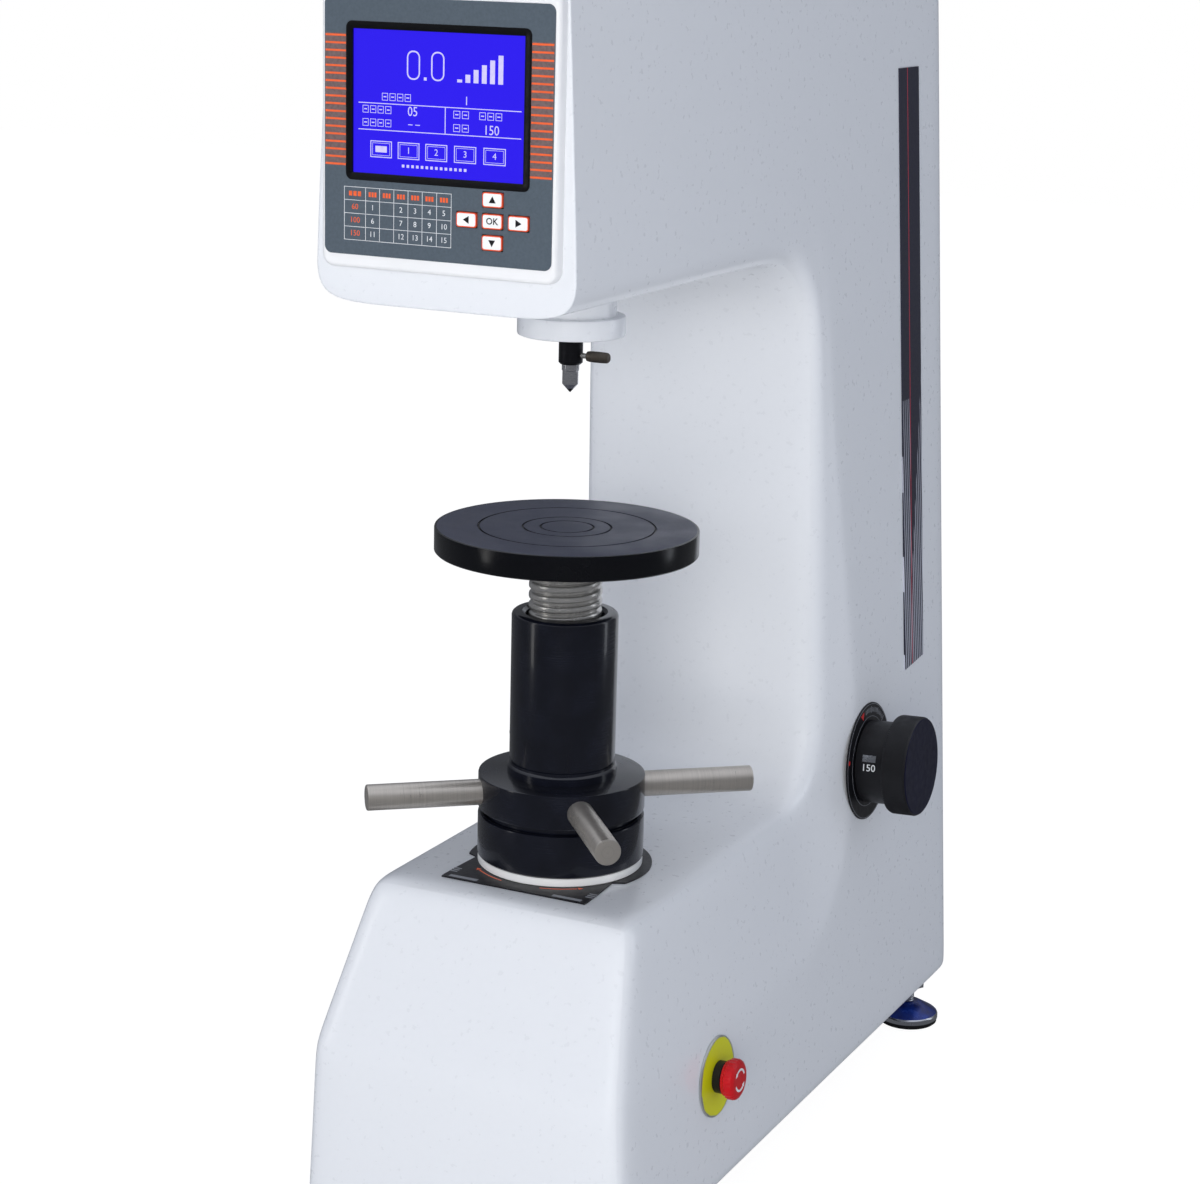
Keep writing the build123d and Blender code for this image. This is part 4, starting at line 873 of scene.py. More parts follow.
class TESTER_OT_body(bpy.types.Operator):
    """Makes the cast body's soft-edged enamelled shell and a dark sheet behind its rear vents, which is
    painted shade for the hollow inside
    """

    bl_idname = "tester.body"
    bl_label = "Body"

    def execute(self, context):
        piece(
            body_shell(), "body_shell", "frame", ["enamel"],
            replaces=["body_casting"], smooth=60, levels=3,
        )
        # A dark sheet inside the rear cover's vent slots: painted shade where the body's inside would look
        # dark.
        back = placed((0, back_y(635), 635), (-1, 0, 0), (0, 1, BACK_LEAN))
        vents = bmesh.new()
        block(vents, (-38, 38), (-40, 42), (0.15, 0.6))
        piece(vents, "vent_shadow", "frame", ["vent_painted_shade"], place=back)
        return {"FINISHED"}


# ---------------------------------------------------------------- turned pieces
def screw_thread(pitch):
    """The elevating screw: a round-crested thread cut square at both ends."""
    bm = bmesh.new()
    low, high, steps = 196.0, 407.4, 72
    turns = int((high - low) / pitch) + 3
    shares = (0, 0.06, 0.13, 0.23, 0.36, 0.64, 0.77, 0.87, 0.94, 1)
    radii = (19.4, 19.5, 20.15, 20.72, 21.0, 21.0, 20.72, 20.15, 19.5, 19.4)
    verts, edges = chain(
        bm, [(r, 0, low - pitch + share * pitch) for share, r in zip(shares, radii)]
    )
    bmesh.ops.spin(
        bm, geom=verts + edges, cent=(0, 0, 0), axis=(0, 0, 1), dvec=(0, 0, pitch / steps),
        angle=2 * pi * turns, steps=steps * turns, use_merge=False,
    )
    bmesh.ops.remove_doubles(bm, verts=bm.verts, dist=0.002)
    for height, facing in ((low, -1), (high, 1)):
        bmesh.ops.bisect_plane(
            bm, geom=[*bm.verts, *bm.edges, *bm.faces], dist=0.0001, plane_co=(0, 0, height),
            plane_no=(0, 0, facing), clear_outer=True,
        )
    ends = [e for e in bm.edges if e.is_boundary]
    bmesh.ops.holes_fill(bm, edges=ends, sides=0)
    bmesh.ops.recalc_face_normals(bm, faces=bm.faces)
    mark_lathe(bm)
    return bm


class TESTER_OT_table(bpy.types.Operator):
    """Turns the grooved table and cuts the elevating screw's thread"""

    bl_idname = "tester.table"
    bl_label = "Table and screw"

    def execute(self, context):
        half = millimetres("groove_width") / 2
        top = [(0, 422)]
        for radius in (15, 25, 50):
            top += [(radius - half, 422), (radius - half * 0.7, 421.2)]
            top += [(radius + half * 0.7, 421.2), (radius + half, 422)]
        rim = [(74.2, 422), (74.8, 421.8), (75, 421.2), (75, 408.6), (74.2, 407.8), (0, 407.8)]
        turned_piece(
            top + rim, 160, "work_table", "table", "black_steel", "table_black", "table", smooth=35
        )
        piece(
            screw_thread(millimetres("thread_pitch")), "screw_thread", "table",
            ["bright_steel"], replaces=["elevating_screw"], smooth=50,
        )
        return {"FINISHED"}


class TESTER_OT_handwheel(bpy.types.Operator):
    """Turns the handwheel's hub, its four bars, the screw cover and the rings under it"""

    bl_idname = "tester.handwheel"
    bl_label = "Handwheel"

    def execute(self, context):
        cover = [(22.6, 277.5), (31.6, 277.5), (31.6, 282.0), (30.9, 283.0), (30.5, 283.3)]
        cover += [(30.5, 284.8), (29.6, 285.1), (29.6, 286.1), (30.5, 286.4), (30.5, 370.8)]
        cover += [(30.1, 371.9), (29.2, 372.7), (28.2, 373.0), (24.4, 373.0), (22.6, 371.4)]
        black = ("handwheel", "black_steel", "anodised")
        turned_piece(cover, 128, "screw_cover_sleeve", *black, "screw_cover", ring=True)
        hub = [(22.6, 277.5), (47.2, 277.5), (48.0, 277.2), (48.2, 276.5), (48.2, 258.1)]
        hub += [(48.0, 257.4), (47.2, 257.1), (44.4, 257.1), (44.4, 249.9), (22.6, 249.9)]
        turned_piece(hub, 128, "handwheel_boss", *black, "handwheel_hub", ring=True)
        parts = []
        for angle in BAR_ANGLES:
            out = (cos(angle), sin(angle), 0)
            bar = [(0, BAR_ROOT), (BAR_RADIUS, BAR_ROOT), (BAR_RADIUS, BAR_REACH - 0.8)]
            bar += [(BAR_RADIUS - 0.25, BAR_REACH - 0.25), (BAR_RADIUS - 0.8, BAR_REACH)]
            bar += [(BAR_RADIUS * 0.4, BAR_REACH), (0, BAR_REACH)]
            parts.append((turned(bar, 64), placed((0, 0, BAR_HEIGHT), (-out[1], out[0], 0), out)))
        piece(
            joined(parts), "handwheel_spokes", "handwheel", ["turned_steel"],
            replaces=["handwheel_bars"], smooth=30,
        )
        collar = [(36, 228.4), (47.3, 228.4), (48.2, 229.3), (48.2, 252.6), (48.0, 253.3)]
        collar += [(47.2, 253.6), (45.6, 253.6), (45.2, 249.3), (36, 249.3)]
        turned_piece(
            collar, 128, "collar_ring", "frame", "black_steel", "anodised", "lower_collar", ring=True
        )
        ring = [(42, 223.8), (47.5, 223.8), (47.9, 224.2), (47.9, 228.0), (47.5, 228.4), (42, 228.4)]
        look = ("frame", "pale_plastic", "pale_plastic")
        turned_piece(ring, 128, "scale_ring", *look, "pale_ring", ring=True, smooth=35)
        return {"FINISHED"}


class TESTER_OT_direction_plate(bpy.types.Operator):
    """Makes the black direction plate under the handwheel with its arrows and grey bars"""

    bl_idname = "tester.direction_plate"
    bl_label = "Direction plate"

    def execute(self, context):
        bm = bmesh.new()
        low, high = BASE_TOP, BASE_TOP + 0.8
        radius, square_from, front = 53.6, -20, -59
        disc = bmesh.ops.create_circle(bm, cap_ends=False, radius=radius, segments=96)
        bmesh.ops.translate(bm, verts=disc["verts"], vec=(0, 0, low))
        # The front half of the disc is drawn out to the plate's square front.
        for v in disc["verts"]:
            if v.co.y < square_from:
                share = v.co.x / (radius ** 2 - square_from ** 2) ** 0.5
                depth = (square_from - v.co.y) / (radius + square_from)
                if abs(share) < 0.74:
                    v.co.y, v.co.x = front, share / 0.74 * 47.5
                else:
                    v.co.x = (44 + 3.5 * min(1.0, depth)) * (1 if share > 0 else -1)
                    v.co.y = square_from + (front - square_from) * (1 - abs(share)) / 0.26
        bmesh.ops.contextual_create(bm, geom=list({e for v in disc["verts"] for e in v.link_edges}))
        raised = bmesh.ops.extrude_face_region(bm, geom=list(bm.faces))
        bmesh.ops.translate(
            bm, verts=[g for g in raised["geom"] if isinstance(g, bmesh.types.BMVert)],
            vec=(0, 0, high - low),
        )
        bmesh.ops.recalc_face_normals(bm, faces=bm.faces)
        marks = (high, high + 0.06)
        for side in (-1, 1):
            block(bm, (side * 33 - 9, side * 33 + 9), (-57.4, -54.4), marks, 1)
            start = radians(-90 + side * 14) if side > 0 else radians(-90 - 14 - 24)
            arc_band(bm, (0, 0), 50.4, 51.2, start, radians(24), marks, 2, steps=12)
            tip = radians(-90 + side * 40)
            prism(bm, (50.8 * cos(tip), 50.8 * sin(tip)), 1.9, 3, marks, tip + side * pi / 2, 2)
            for row in range(3):
                y = -49.5 + row * 2.6
                block(bm, (side * 43.5 - 2.4, side * 43.5 + 2.4), (y, y + 1.3), marks, 1)
        piece(
            bm, "direction_label", "frame", ["label_black", "grey_ink", "stripe_ink"],
            replaces=["direction_plate"], smooth=25,
        )
        return {"FINISHED"}


class TESTER_OT_spindle(bpy.types.Operator):
    """Turns the spindle's nose, the spindle, the indenter and its clamp screw"""

    bl_idname = "tester.spindle"
    bl_label = "Spindle and indenter"

    def execute(self, context):
        nose = [(7.4, 531.2), (28.8, 531.2), (29.8, 531.6), (30.2, 532.6), (30.2, 541.4)]
        nose += [(29.8, 542.4), (28.8, 542.8), (25, 542.8), (25, 561.0), (7.4, 561.0)]
        turned_piece(
            nose, 96, "nose_ring", "frame", "pale_plastic", "enamel", "spindle_nose", ring=True
        )
        shaft = [(0, 514.8), (5.7, 514.8), (6.8, 515.9), (6.8, 548), (10, 548), (10, 570), (6, 570)]
        shaft += [(6, 610), (14, 610), (14, 613), (6, 613), (6, 622), (0, 622)]
        turned_piece(shaft, 64, "spindle_shaft", "spindle", "black_steel", "black_steel", "spindle")
        tip = [(0, 498.9), (0.3, 499.0), (2.1, 501.0), (4.3, 503.4), (4.5, 503.9), (4.5, 511.0), (4.9, 511.4)]
        tip += [(4.9, 514.8), (3.175, 514.8), (3.175, 536.8), (0, 536.8)]
        bm = turned(tip, 64)
        for face in bm.faces:
            if face.calc_center_median().z < 501.0:
                face.material_index = 1
        piece(
            bm, "indenter_holder", "spindle", ["ground_steel", "carbide"],
            replaces=["indenter"], smooth=30,
        )
        # The clamp screw: a bright shank and a knurled, slightly barrelled head.
        head_rows = [10.6 + i * 0.62 for i in range(21)]
        screw = [(0, 3.3), (1.5, 3.3), (1.5, 10.4), (2.3, 10.4)]
        screw += [(2.95 - 0.0045 * (z - 16.6) ** 2, z) for z in head_rows]
        screw += [(2.4, 23.5), (2.1, 23.7), (0, 23.7)]
        bm = turned(screw, 64)
        for face in bm.faces:
            if face.calc_center_median().z > 10.5:
                face.material_index = 1
        knurl(bm, 11.5, 22.8, 2.2, 0.16)
        piece(
            bm, "clamp_screw_head", "clamp_screw", ["bright_steel", "knurled_steel"],
            place=placed((0, 0, 520), (0, 1, 0), (1, 0, 0)), replaces=["indenter_clamp_screw"],
            smooth=30,
        )
        return {"FINISHED"}


def knurl(bm, low, high, least_radius, depth):
    """Raises every other point of a turned band into a diamond knurl."""
    rows = {}
    for v in bm.verts:
        if low <= v.co.z <= high and hypot(v.co.x, v.co.y) > least_radius:
            rows.setdefault(round(v.co.z, 3), []).append(v)
    for i, z in enumerate(sorted(rows)):
        ring = sorted(rows[z], key=lambda v: atan2(v.co.y, v.co.x))
        for j, v in enumerate(ring):
            if (i + j) % 2 == 0:
                radius = hypot(v.co.x, v.co.y)
                v.co.x *= (radius + depth) / radius
                v.co.y *= (radius + depth) / radius


class TESTER_OT_load_knob(bpy.types.Operator):
    """Turns the load selector: its dial plate with ticks, its numbered neck and its knurled knob"""

    bl_idname = "tester.load_knob"
    bl_label = "Load selector"

    def execute(self, context):
        plate = [(12.1, 0), (38.3, 0), (38.3, 0.7), (38.0, 1.0), (12.1, 1.0)]
        bm = turned(plate, 96, closed=True)
        face = (1.0, 1.06)
        for i in range(15):
            turn = radians(42 + i * 4)
            place = Matrix.Rotation(turn, 4, "Z") @ Matrix.Translation((33.6, 0, 1.03))
            size = (4.4 if i % 5 == 0 else 3.0, 0.6, 0.06)
            made = bmesh.ops.create_cube(bm, size=1, matrix=place @ Matrix.Diagonal((*size, 1)))
            for f in {f for v in made["verts"] for f in v.link_faces}:
                f.material_index = 1
        marker, dot = radians(108), radians(168)
        prism(bm, (33.8 * cos(marker), 33.8 * sin(marker)), 3.2, 3, face, marker + pi, 2)
        prism(bm, (35.2 * cos(dot), 35.2 * sin(dot)), 1.5, 16, face, 0, 2)
        for radius in (29.2, 37.2):
            arc_band(bm, (0, 0), radius, radius + 0.25, 0, 2 * pi * 0.999, face, 1, steps=96)
        piece(
            bm, "load_dial", "frame", ["label_black", "grey_ink", "red_ink"],
            place=KNOB_PLANE, replaces=["dial_plate"], smooth=30,
        )
        rows = [22.0 + i * 0.72 for i in range(20)]
        knob = [(5, 1.8), (26.7, 1.8), (26.7, 20.4), (31.4, 20.7), (31.6, 21.1)]
        knob += [(31.6, z) for z in rows]
        knob += [(31.6, 36.2), (31.2, 36.9), (30.6, 37.3), (0, 37.3)]
        bm = turned(knob, 240)
        knurl(bm, 21.9, 35.8, 31, millimetres("knurl_depth"))
        for f in bm.faces:
            if f.calc_center_median().z > 37.0:
                f.material_index = 1
        neck_print_and_highlight = bmesh.new()
        lettering(neck_print_and_highlight, "150", (0, 0), 6.4, (0, 0.3), 2)
        # A small pale patch of fine plated bars over the number: a painted highlight.
        for i in range(8):
            block(neck_print_and_highlight, (-4.4, 4.4), (3.9 + i * 0.55, 4.45 + i * 0.55), (0, 0.12), 3)
        for v in neck_print_and_highlight.verts:
            # Laid round the neck so that it reads upright from the front.
            turn = pi - 0.12 - v.co.y / 26.7
            radius = 26.68 + v.co.z
            along = 10.8 + v.co.x
            v.co = (radius * cos(turn), radius * sin(turn), along)
        whole = joined([(bm, Matrix()), (neck_print_and_highlight, Matrix())])
        piece(
            whole, "load_selector_knob", "selector",
            ["knob_black", "knob_face", "white_ink", "plated"], place=KNOB_PLANE,
            replaces=["load_knob"], smooth=16,
        )
        return {"FINISHED"}


class TESTER_OT_stop_button(bpy.types.Operator):
    """Turns the stop button: yellow plate, black neck and ribbed red head with two turn arrows"""

    bl_idname = "tester.stop_button"
    bl_label = "Stop button"

    def execute(self, context):
        plate = [(8.0, 0), (23.9, 0), (23.9, 1.1), (23.5, 1.5), (16, 1.5), (8.0, 1.5)]
        look = ("frame", "stop_yellow", "stop_plate_yellow")
        turned_piece(plate, 96, "stop_label", *look, "stop_plate", ring=True, place=STOP_PLANE)
        neck = [(0, -22.5), (8, -22.5), (8, 1.5), (9.2, 1.5), (9.5, 1.9), (9.5, 6.1), (9.1, 6.5), (0, 6.5)]
        look = ("frame", "black_moulding", "black_moulding")
        turned_piece(neck, 64, "stop_neck", *look, "stop_body", place=STOP_PLANE)
        head = [(0, 7.0), (9.9, 7.0), (10.5, 7.3), (10.5, 8.7), (11.2, 9.2), (11.7, 9.6), (11.7, 13.0)]
        head += [(11.2, 14.2), (10.3, 15.0), (9.2, 15.4), (8.2, 15.5), (3, 15.3), (0, 15.3)]
        bm = turned(head, 96)
        for v in bm.verts:
            radius = hypot(v.co.x, v.co.y)
            ring = round(atan2(v.co.y, v.co.x) / (2 * pi) * 96)
            if radius > 10.9 and 9.4 < v.co.z < 14.5 and ring % 4 in (0, 1):
                v.co.x *= (radius + 0.3) / radius
                v.co.y *= (radius + 0.3) / radius
        face = (15.3, 15.52)
        for turn in (radians(20), radians(200)):
            arc_band(bm, (0, 0), 5.6, 6.9, turn, radians(110), face, 1, steps=20)
            tip = turn + radians(118)
            prism(bm, (6.25 * cos(tip), 6.25 * sin(tip)), 1.7, 3, face, tip + pi / 2, 1)
        piece(
            bm, "stop_head", "stop_button", ["stop_red", "white_ink"], place=STOP_PLANE,
            replaces=["stop_button"], smooth=30,
        )
        return {"FINISHED"}


class TESTER_OT_feet(bpy.types.Operator):
    """Turns the four levelling feet: rubber soles, plated discs and threaded stems"""

    bl_idname = "tester.feet"
    bl_label = "Levelling feet"

    def execute(self, context):
        sole = [(0, 0), (19.8, 0), (20.7, 0.8), (20.7, 3.0), (0, 3.0)]
        pad = [(0, 3.0), (20.8, 3.0), (21.25, 3.4), (21.25, 5.9), (20.9, 6.7), (20.3, 7.3)]
        pad += [(19.5, 7.9), (14.6, 10.7), (9.0, 13.9), (0, 13.95)]
        stem = [(0, 13.95)]
        for i in range(28):
            z = 14.2 + i * 1.6
            stem += [(3.6, z), (4.1, z + 0.5), (4.1, z + 0.9), (3.6, z + 1.4)]
        stem += [(3.6, 60), (0, 60)]
        for name, profile, slot, look, node in (
            ("soles", sole, "sole_rubber", "sole_rubber", "foot_soles"),
            ("discs", pad, "bright_steel", "foot_metal", "foot_pads"),
            ("studs", stem, "bright_steel", "plated", "foot_stems"),
        ):
            parts = [(turned(profile, 64), Matrix.Translation((x, y, 0))) for x, y in FOOT_PLACES]
            piece(joined(parts), f"foot_{name}_turned", "frame", [look], replaces=[node], smooth=30)
        return {"FINISHED"}


# ---------------------------------------------------------------- front panel
SCREEN_HALF_WIDTH, SCREEN_LOW, SCREEN_HIGH = 48.7, 628.6, 699.8


def screen_x(share):
    """Across the screen, from 0 at its left to 1 at its right."""
    return SCREEN_HALF_WIDTH * (2 * share - 1)


def screen_z(share):
    """Down the screen, from 0 at its top to 1 at its bottom."""
    return SCREEN_HIGH - (SCREEN_HIGH - SCREEN_LOW) * share


class TESTER_OT_panel(bpy.types.Operator):
    """Makes the front panel: bezel, printed film, display frame, the lit display and the keys"""

    bl_idname = "tester.panel"
    bl_label = "Front panel"

    def bezel(self):
        bm = bmesh.new()
        rim = [(0, HEAD_FRONT), (0, 149.6), (0.25, 150.7), (0.9, 151.6), (1.8, 152.1)]
        rim += [(2.5, BEZEL_FRONT), (8.0, BEZEL_FRONT), (8.0, HEAD_FRONT)]
        ring_frame(bm, (-67.5, 67.5), (580, 721.5), 6.5, rim)
        piece(
            bm, "bezel_rim", "frame", ["bezel_plastic"], place=on_front(),
            replaces=["display_bezel"], smooth=40,
        )
        bm = bmesh.new()
        rim = [(0, 152.72), (0, 152.86), (0.15, 152.96), (3.55, 152.96), (3.75, 152.8)]
        rim += [(3.75, 150.4), (1.15, 150.4), (1.15, 152.72)]
        ring_frame(bm, (-52.45, 52.45), (624.85, 703.55), 3.4, rim)
        piece(
            bm, "display_frame", "frame", ["frame_black"], place=on_front(),
            replaces=["lcd_frame"], smooth=40,
        )

    def film_print(self):
        bm = bmesh.new()
        depth = (FILM_FRONT, FILM_FRONT + 0.04)
        for i in range(18):
            z = 696.2 - i * 3.76
            for side in (-1, 1):
                x = sorted((side * 52.6, side * 64.5))
                block(bm, x, (z - 0.5, z + 0.5), depth, 0)
        columns = [-53.4, -40.9, -32.7, -24.4, -16.2, -8.0, 0.3, 8.6]
        rows = [621.2, 614.6, 607.9, 601.2, 594.5]
        line = 0.13
        for x in columns:
            block(bm, (x - line, x + line), (rows[-1] - line, rows[0] + line), depth, 1)
        for z in rows:
            block(bm, (columns[0] + line, columns[-1] - line), (z - line, z + line), depth, 1)
        middle = [(a + b) / 2 for a, b in zip(columns, columns[1:])]
        height = [(a + b) / 2 for a, b in zip(rows, rows[1:])]
        for text, z in (("60", height[1]), ("100", height[2]), ("150", height[3])):
            lettering(bm, text, (middle[0], z), 4.0, depth, 0)
        count = 0
        for row in (1, 2, 3):
            for column in (1, 3, 4, 5, 6):
                count += 1
                lettering(bm, str(count), (middle[column], height[row]), 3.9, depth, 1)
        for column, x in enumerate(middle):
            wide = 3.6 if column == 0 else 2.3
            for part in (-1, 0, 1):
                centre, half = x + part * wide * 0.72, wide * 0.26
                block(bm, (centre - half, centre + half), (height[0] - 1.2, height[0] + 1.2), depth)
        piece(
            bm, "film_printing", "frame", ["stripe_ink", "white_ink"],
            place=on_front(),
        )

    def display(self):
        bm = bmesh.new()
        depth = (GLASS_FRONT, GLASS_FRONT + 0.04)

        def line(left, right, top, bottom):
            block(bm, (screen_x(left), screen_x(right)), (screen_z(bottom), screen_z(top)), depth)

        def box(left, right, top, bottom, stroke):
            x = (screen_x(left), screen_x(right))
            z = (screen_z(bottom), screen_z(top))
            for edge in (0, 1):
                inner = x[edge] + stroke * (1 - 2 * edge)
                block(bm, sorted((x[edge], inner)), z, depth)
                inner = z[edge] + stroke * (1 - 2 * edge)
                block(bm, (x[0] + stroke, x[1] - stroke), sorted((z[edge], inner)), depth)

        def zero(left):
            ring = bmesh.new()
            x, z = (screen_x(left), screen_x(left + 0.077)), (screen_z(0.335), screen_z(0.135))
            stroke = 0.75
            face = [(0, depth[0]), (0, depth[1]), (stroke, depth[1]), (stroke, depth[0])]
            ring_frame(ring, x, z, 3.4, face)
            mesh = bpy.data.meshes.new("ring")
            ring.to_mesh(mesh)
            ring.free()
            bm.from_mesh(mesh)
            bpy.data.meshes.remove(mesh)

        # The reading is 0.0.
        zero(0.316)
        line(0.416, 0.432, 0.314, 0.335)
        zero(0.458)
        # A small rising scale stands beside the reading.
        for i in range(6):
            line(0.61 + i * 0.047, 0.638 + i * 0.047, 0.315 - i * 0.035, 0.335)
        line(0.03, 0.98, 0.507, 0.513)
        line(0.03, 0.98, 0.692, 0.698)
        line(0.54, 0.545, 0.51, 0.695)
        for text, left, top, size in (
            ("05", 0.352, 0.556, 6.6), ("150", 0.81, 0.653, 6.6), ("1", 0.665, 0.462, 6.0),
        ):
            lettering(bm, text, (screen_x(left), screen_z(top)), size, depth, wide=0.9)
        # Rows of plain marks stand where the display's words would be.
        for left, right, middle, count in (
            (0.17, 0.35, 0.462, 4), (0.055, 0.235, 0.553, 4), (0.055, 0.235, 0.645, 4),
            (0.59, 0.69, 0.556, 2), (0.74, 0.88, 0.556, 3), (0.59, 0.69, 0.648, 2),
        ):
            pitch = (right - left) / count
            for i in range(count):
                start = left + i * pitch
                box(start, start + pitch * 0.78, middle - 0.026, middle + 0.026, 0.28)
                line(start + pitch * 0.2, start + pitch * 0.58, middle - 0.004, middle + 0.004)
        line(0.325, 0.352, 0.643, 0.648)
        line(0.368, 0.395, 0.643, 0.648)
        for i, middle in enumerate((0.166, 0.329, 0.492, 0.66, 0.83)):
            box(middle - 0.064, middle + 0.064, 0.77, 0.887, 0.45)
            box(middle - 0.052, middle + 0.052, 0.785, 0.872, 0.2)
            if i == 0:
                line(middle - 0.034, middle + 0.034, 0.806, 0.85)
            else:
                lettering(bm, str(i), (screen_x(middle), screen_z(0.828)), 4.6, depth)
        for i in range(14):
            line(0.29 + i * 0.028, 0.305 + i * 0.028, 0.925, 0.945)
        piece(bm, "display_marks", "frame", ["lit_marks"], place=on_front())

    def keys(self):
        centre, pitch_x, pitch_z = (32.2, 609.2), 14.6, 10.6
        for name, across, up in (
            ("up", 0, 1), ("down", 0, -1), ("left", -1, 0), ("right", 1, 0), ("ok", 0, 0),
        ):
            x, z = centre[0] + across * pitch_x, centre[1] + up * pitch_z
            bm = bmesh.new()
            # A key with a red edge, and its white face just proud of it.
            for half, rise, corner, rim, material in (
                ((5.7, 3.7), (149.2, 153.45), 1.3, 0.35, 1),
                ((5.15, 3.15), (153.3, 153.55), 1.0, 0.12, 0),
            ):
                across_x, up_z = (x - half[0], x + half[0]), (z - half[1], z + half[1])
                rounded_block(bm, across_x, up_z, rise, corner, rim, material=material)
            mark = (153.54, 153.6)
            if name == "ok":
                lettering(bm, "OK", (x, z), 4.6, mark, 2, bold=0.06)
            else:
                place = (x - across * 0.35, z - up * 0.35)
                prism(bm, place, 2.2, 3, mark, atan2(up, across), 2)
            piece(
                bm, f"key_{name}_cap", f"key_{name}",
                ["key_white", "key_edge", "dark_ink"], place=on_front(), replaces=[f"key_{name}"],
            )

    def execute(self, context):
        self.bezel()
        self.film_print()
        self.display()
        self.keys()
        return {"FINISHED"}


# ---------------------------------------------------------------- kept frame pieces
KEPT = {
    "pale_paint": ["top_cover", "rear_cover"],
    "motor_grey": ["bottom_plate", "gear_motor"],
    "plated": ["cover_screws", "foot_nuts", "thrust_bearing", "thrust_washer", "selector_shaft"],
    "panel_film": ["keypad_overlay"],
    "lit_screen": ["lcd_screen"],
    "board_green": ["display_board"],
    "spring_steel": ["preload_spring"],
    "bronze": ["screw_nut", "spindle_bush", "selector_bush", "push_rod_guide"],
    "cast_fittings": ["screw_guide", "lever_bearings", "weight_hanger"],
    "cast_weights": ["weight_discs", "load_lever", "lift_cam"],
    "strip_film": ["side_strip"],
    "black_moulding": ["power_inlet", "power_switch", "power_rocker", "stop_stem"],
    "unit_case": ["control_unit", "displacement_sensor"],
    "black_steel": ["push_rod"],
    "bright_steel": ["serial_port"],
}


class TESTER_OT_kept(bpy.types.Operator):
    """Gives every piece kept from the frame its own finish"""

    bl_idname = "tester.kept"
    bl_label = "Kept pieces"

    def execute(self, context):
        for look, nodes in KEPT.items():
            for name in nodes:
                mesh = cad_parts[name].data
                mesh.materials.clear()
                mesh.materials.append(finish(look))
        shown = [
            n for n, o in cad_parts.items() if not o.hide_render and n not in sum(KEPT.values(), [])
        ]
        if shown:
            raise RuntimeError(f"pieces of the frame without a finish: {shown}")
        return {"FINISHED"}


# ---------------------------------------------------------------- stage
def area_light(name, place, target, size, power, tint, mirrored=True):
    """A lamp of an even level that faces a place. One that isn't mirrored leaves no highlight."""
    light = bpy.data.lights.new(name, "AREA")
    light.shape = "RECTANGLE"
    light.size, light.size_y = size
    light.energy = power
    light.color = tint
    made = bpy.data.objects.new(name, light)
    made.location = place
    made.rotation_euler = (Vector(target) - Vector(place)).to_track_quat("-Z", "Y").to_euler()
    made.visible_glossy = mirrored
    bpy.context.scene.collection.objects.link(made)


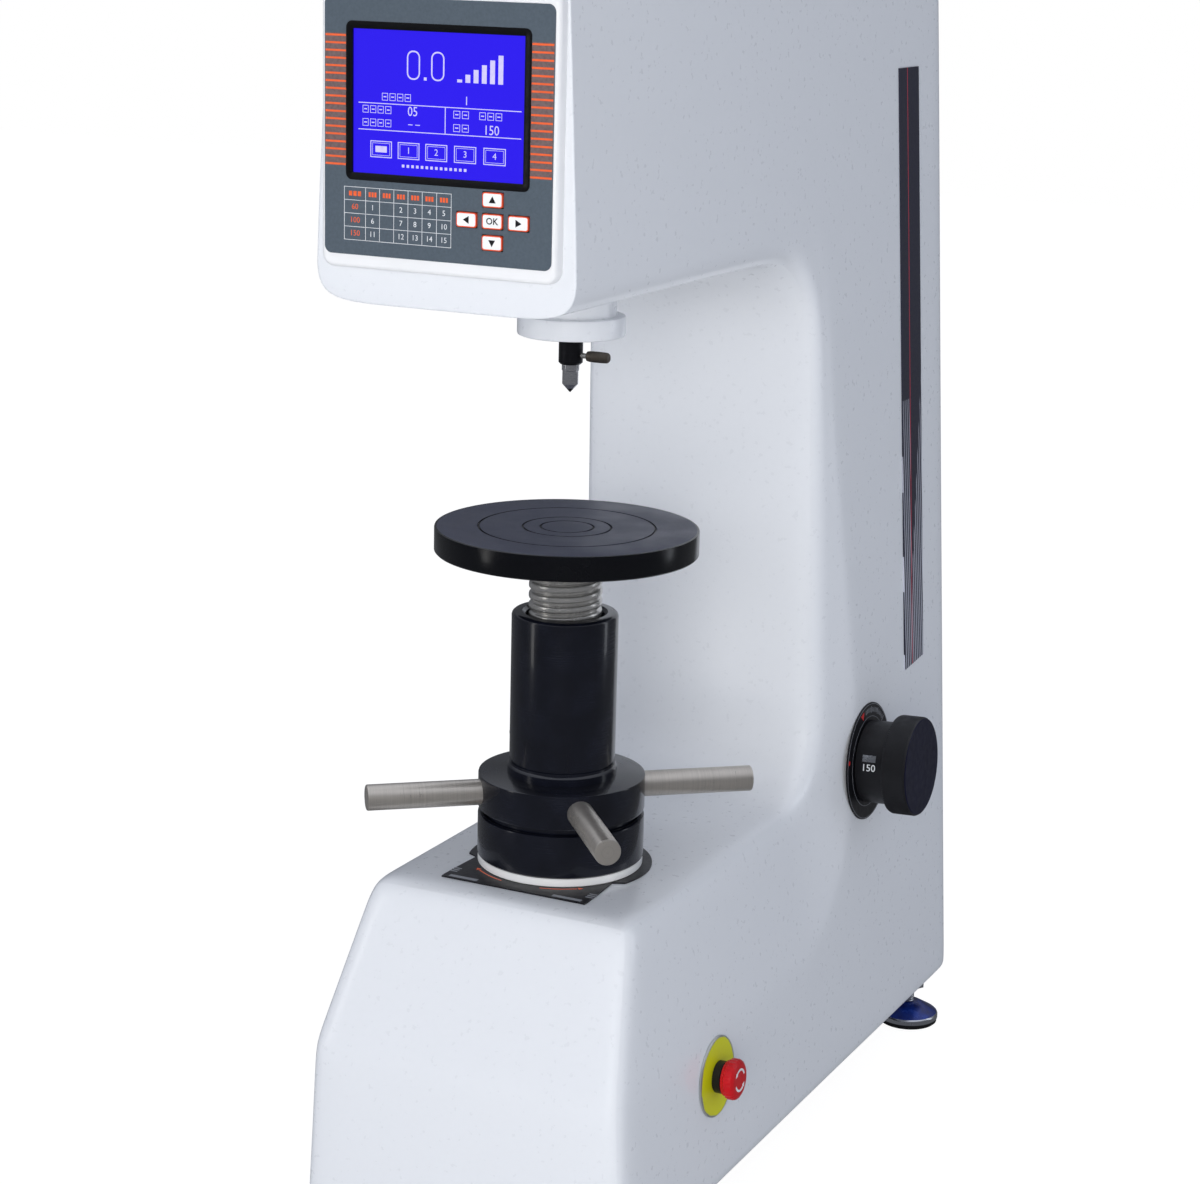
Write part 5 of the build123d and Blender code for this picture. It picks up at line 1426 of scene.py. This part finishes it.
class TESTER_OT_stage(bpy.types.Operator):
    """Sets the white floor, the soft lights and the camera"""

    bl_idname = "tester.stage"
    bl_label = "Stage"

    def execute(self, context):
        scene = context.scene
        scene.view_settings.view_transform = "Standard"
        bm = bmesh.new()
        bmesh.ops.create_grid(bm, x_segments=1, y_segments=1, size=6)
        mesh = bpy.data.meshes.new("floor")
        bm.to_mesh(mesh)
        bm.free()
        mesh.materials.append(finish("floor_white"))
        floor = bpy.data.objects.new("floor", mesh)
        scene.collection.objects.link(floor)

        world = bpy.data.worlds.new("Studio")
        world.use_nodes = True
        scene.world = world
        tree = world.node_tree
        ambient = tree.nodes["Background"]
        ambient.inputs[0].default_value = (0.80, 0.86, 1.0, 1)
        # The surround is brighter towards the horizon than overhead.
        towards = tree.nodes.new("ShaderNodeTexCoord")
        parts = tree.nodes.new("ShaderNodeSeparateXYZ")
        height = tree.nodes.new("ShaderNodeMapRange")
        for index, value in enumerate((0, 0.85, 0.68, 0.4), start=1):
            height.inputs[index].default_value = value
        tree.links.new(towards.outputs["Generated"], parts.inputs[0])
        tree.links.new(parts.outputs[2], height.inputs[0])
        tree.links.new(height.outputs[0], ambient.inputs[1])
        mirrored = tree.nodes.new("ShaderNodeBackground")
        mirrored.inputs[0].default_value = (0.86, 0.9, 1.0, 1)
        # What shines sees a dim surround with a bright ceiling.
        ceiling = tree.nodes.new("ShaderNodeMapRange")
        for index, value in enumerate((0.3, 0.8, 0.15, 1.1), start=1):
            ceiling.inputs[index].default_value = value
        tree.links.new(parts.outputs[2], ceiling.inputs[0])
        tree.links.new(ceiling.outputs[0], mirrored.inputs[1])
        white = tree.nodes.new("ShaderNodeBackground")
        white.inputs[0].default_value = (1, 1, 1, 1)
        white.inputs[1].default_value = 1.0
        path = tree.nodes.new("ShaderNodeLightPath")
        mix = tree.nodes.new("ShaderNodeMixShader")
        unseen = tree.nodes.new("ShaderNodeMixShader")
        tree.links.new(path.outputs["Is Glossy Ray"], unseen.inputs[0])
        tree.links.new(ambient.outputs[0], unseen.inputs[1])
        tree.links.new(mirrored.outputs[0], unseen.inputs[2])
        tree.links.new(path.outputs["Is Camera Ray"], mix.inputs[0])
        tree.links.new(unseen.outputs[0], mix.inputs[1])
        tree.links.new(white.outputs[0], mix.inputs[2])
        tree.links.new(mix.outputs[0], tree.nodes["World Output"].inputs[0])

        middle = (0, 0.05, 0.4)
        warm, cool = (1, 0.99, 0.97), (0.88, 0.93, 1.0)
        area_light("front soft box", (0.75, -2.35, 0.6), middle, (1.3, 1.5), 33, warm, False)
        area_light("top soft box", (-0.3, -0.5, 2.6), (0, 0, 0.3), (2.4, 2.4), 3, (1, 1, 1))
        area_light("left strip", (-1.67, -1.83, 0.9), middle, (0.3, 1.5), 3.5, warm)
        area_light("rear strip", (2.1, 1.3, 0.9), middle, (0.35, 1.6), 4, cool)

        azimuth, pitch, roll = radians(25.99), radians(13.99), radians(1.41)
        forward = Vector((-sin(azimuth) * cos(pitch), cos(azimuth) * cos(pitch), -sin(pitch)))
        level = Vector((cos(azimuth), sin(azimuth), 0))
        up = level.cross(forward)
        right = level * cos(roll) + up * sin(roll)
        top = up * cos(roll) - level * sin(roll)
        camera = bpy.data.cameras.new("camera")
        camera.lens, camera.sensor_width = 81.546, 36.0
        made = bpy.data.objects.new("camera", camera)
        place = Vector((SPINDLE.x + 0.67395, SPINDLE.y - 1.33796, 0.75761))
        turn = Matrix((right, top, -forward)).transposed().to_4x4()
        made.matrix_world = Matrix.Translation(place) @ turn
        scene.collection.objects.link(made)
        scene.camera = made
        return {"FINISHED"}


OPERATORS = [
    TESTER_OT_body, TESTER_OT_table, TESTER_OT_handwheel, TESTER_OT_direction_plate,
    TESTER_OT_spindle, TESTER_OT_load_knob, TESTER_OT_stop_button, TESTER_OT_feet, TESTER_OT_panel,
    TESTER_OT_kept, TESTER_OT_stage,
]


class VIEW3D_PT_tester(bpy.types.Panel):
    bl_label = "Hardness tester"
    bl_space_type = "VIEW_3D"
    bl_region_type = "UI"
    bl_category = "Tester"

    def draw(self, context):
        for group in (context.scene.tester_sizes, context.scene.tester_colours):
            for name in group.bl_rna.properties.keys():
                if name not in ("rna_type", "name"):
                    self.layout.prop(group, name)
        for operator in OPERATORS:
            self.layout.operator(operator.bl_idname)


CLASSES = [TesterColours, TesterSizes, *OPERATORS, VIEW3D_PT_tester]


def register():
    for cls in CLASSES:
        bpy.utils.register_class(cls)
    bpy.types.Scene.tester_colours = bpy.props.PointerProperty(type=TesterColours)
    bpy.types.Scene.tester_sizes = bpy.props.PointerProperty(type=TesterSizes)


def unregister():
    del bpy.types.Scene.tester_sizes
    del bpy.types.Scene.tester_colours
    for cls in reversed(CLASSES):
        bpy.utils.unregister_class(cls)


def main():
    register()
    for operator in OPERATORS:
        group, name = operator.bl_idname.split(".")
        getattr(getattr(bpy.ops, group), name)()


if __name__ == "__main__":
    main()
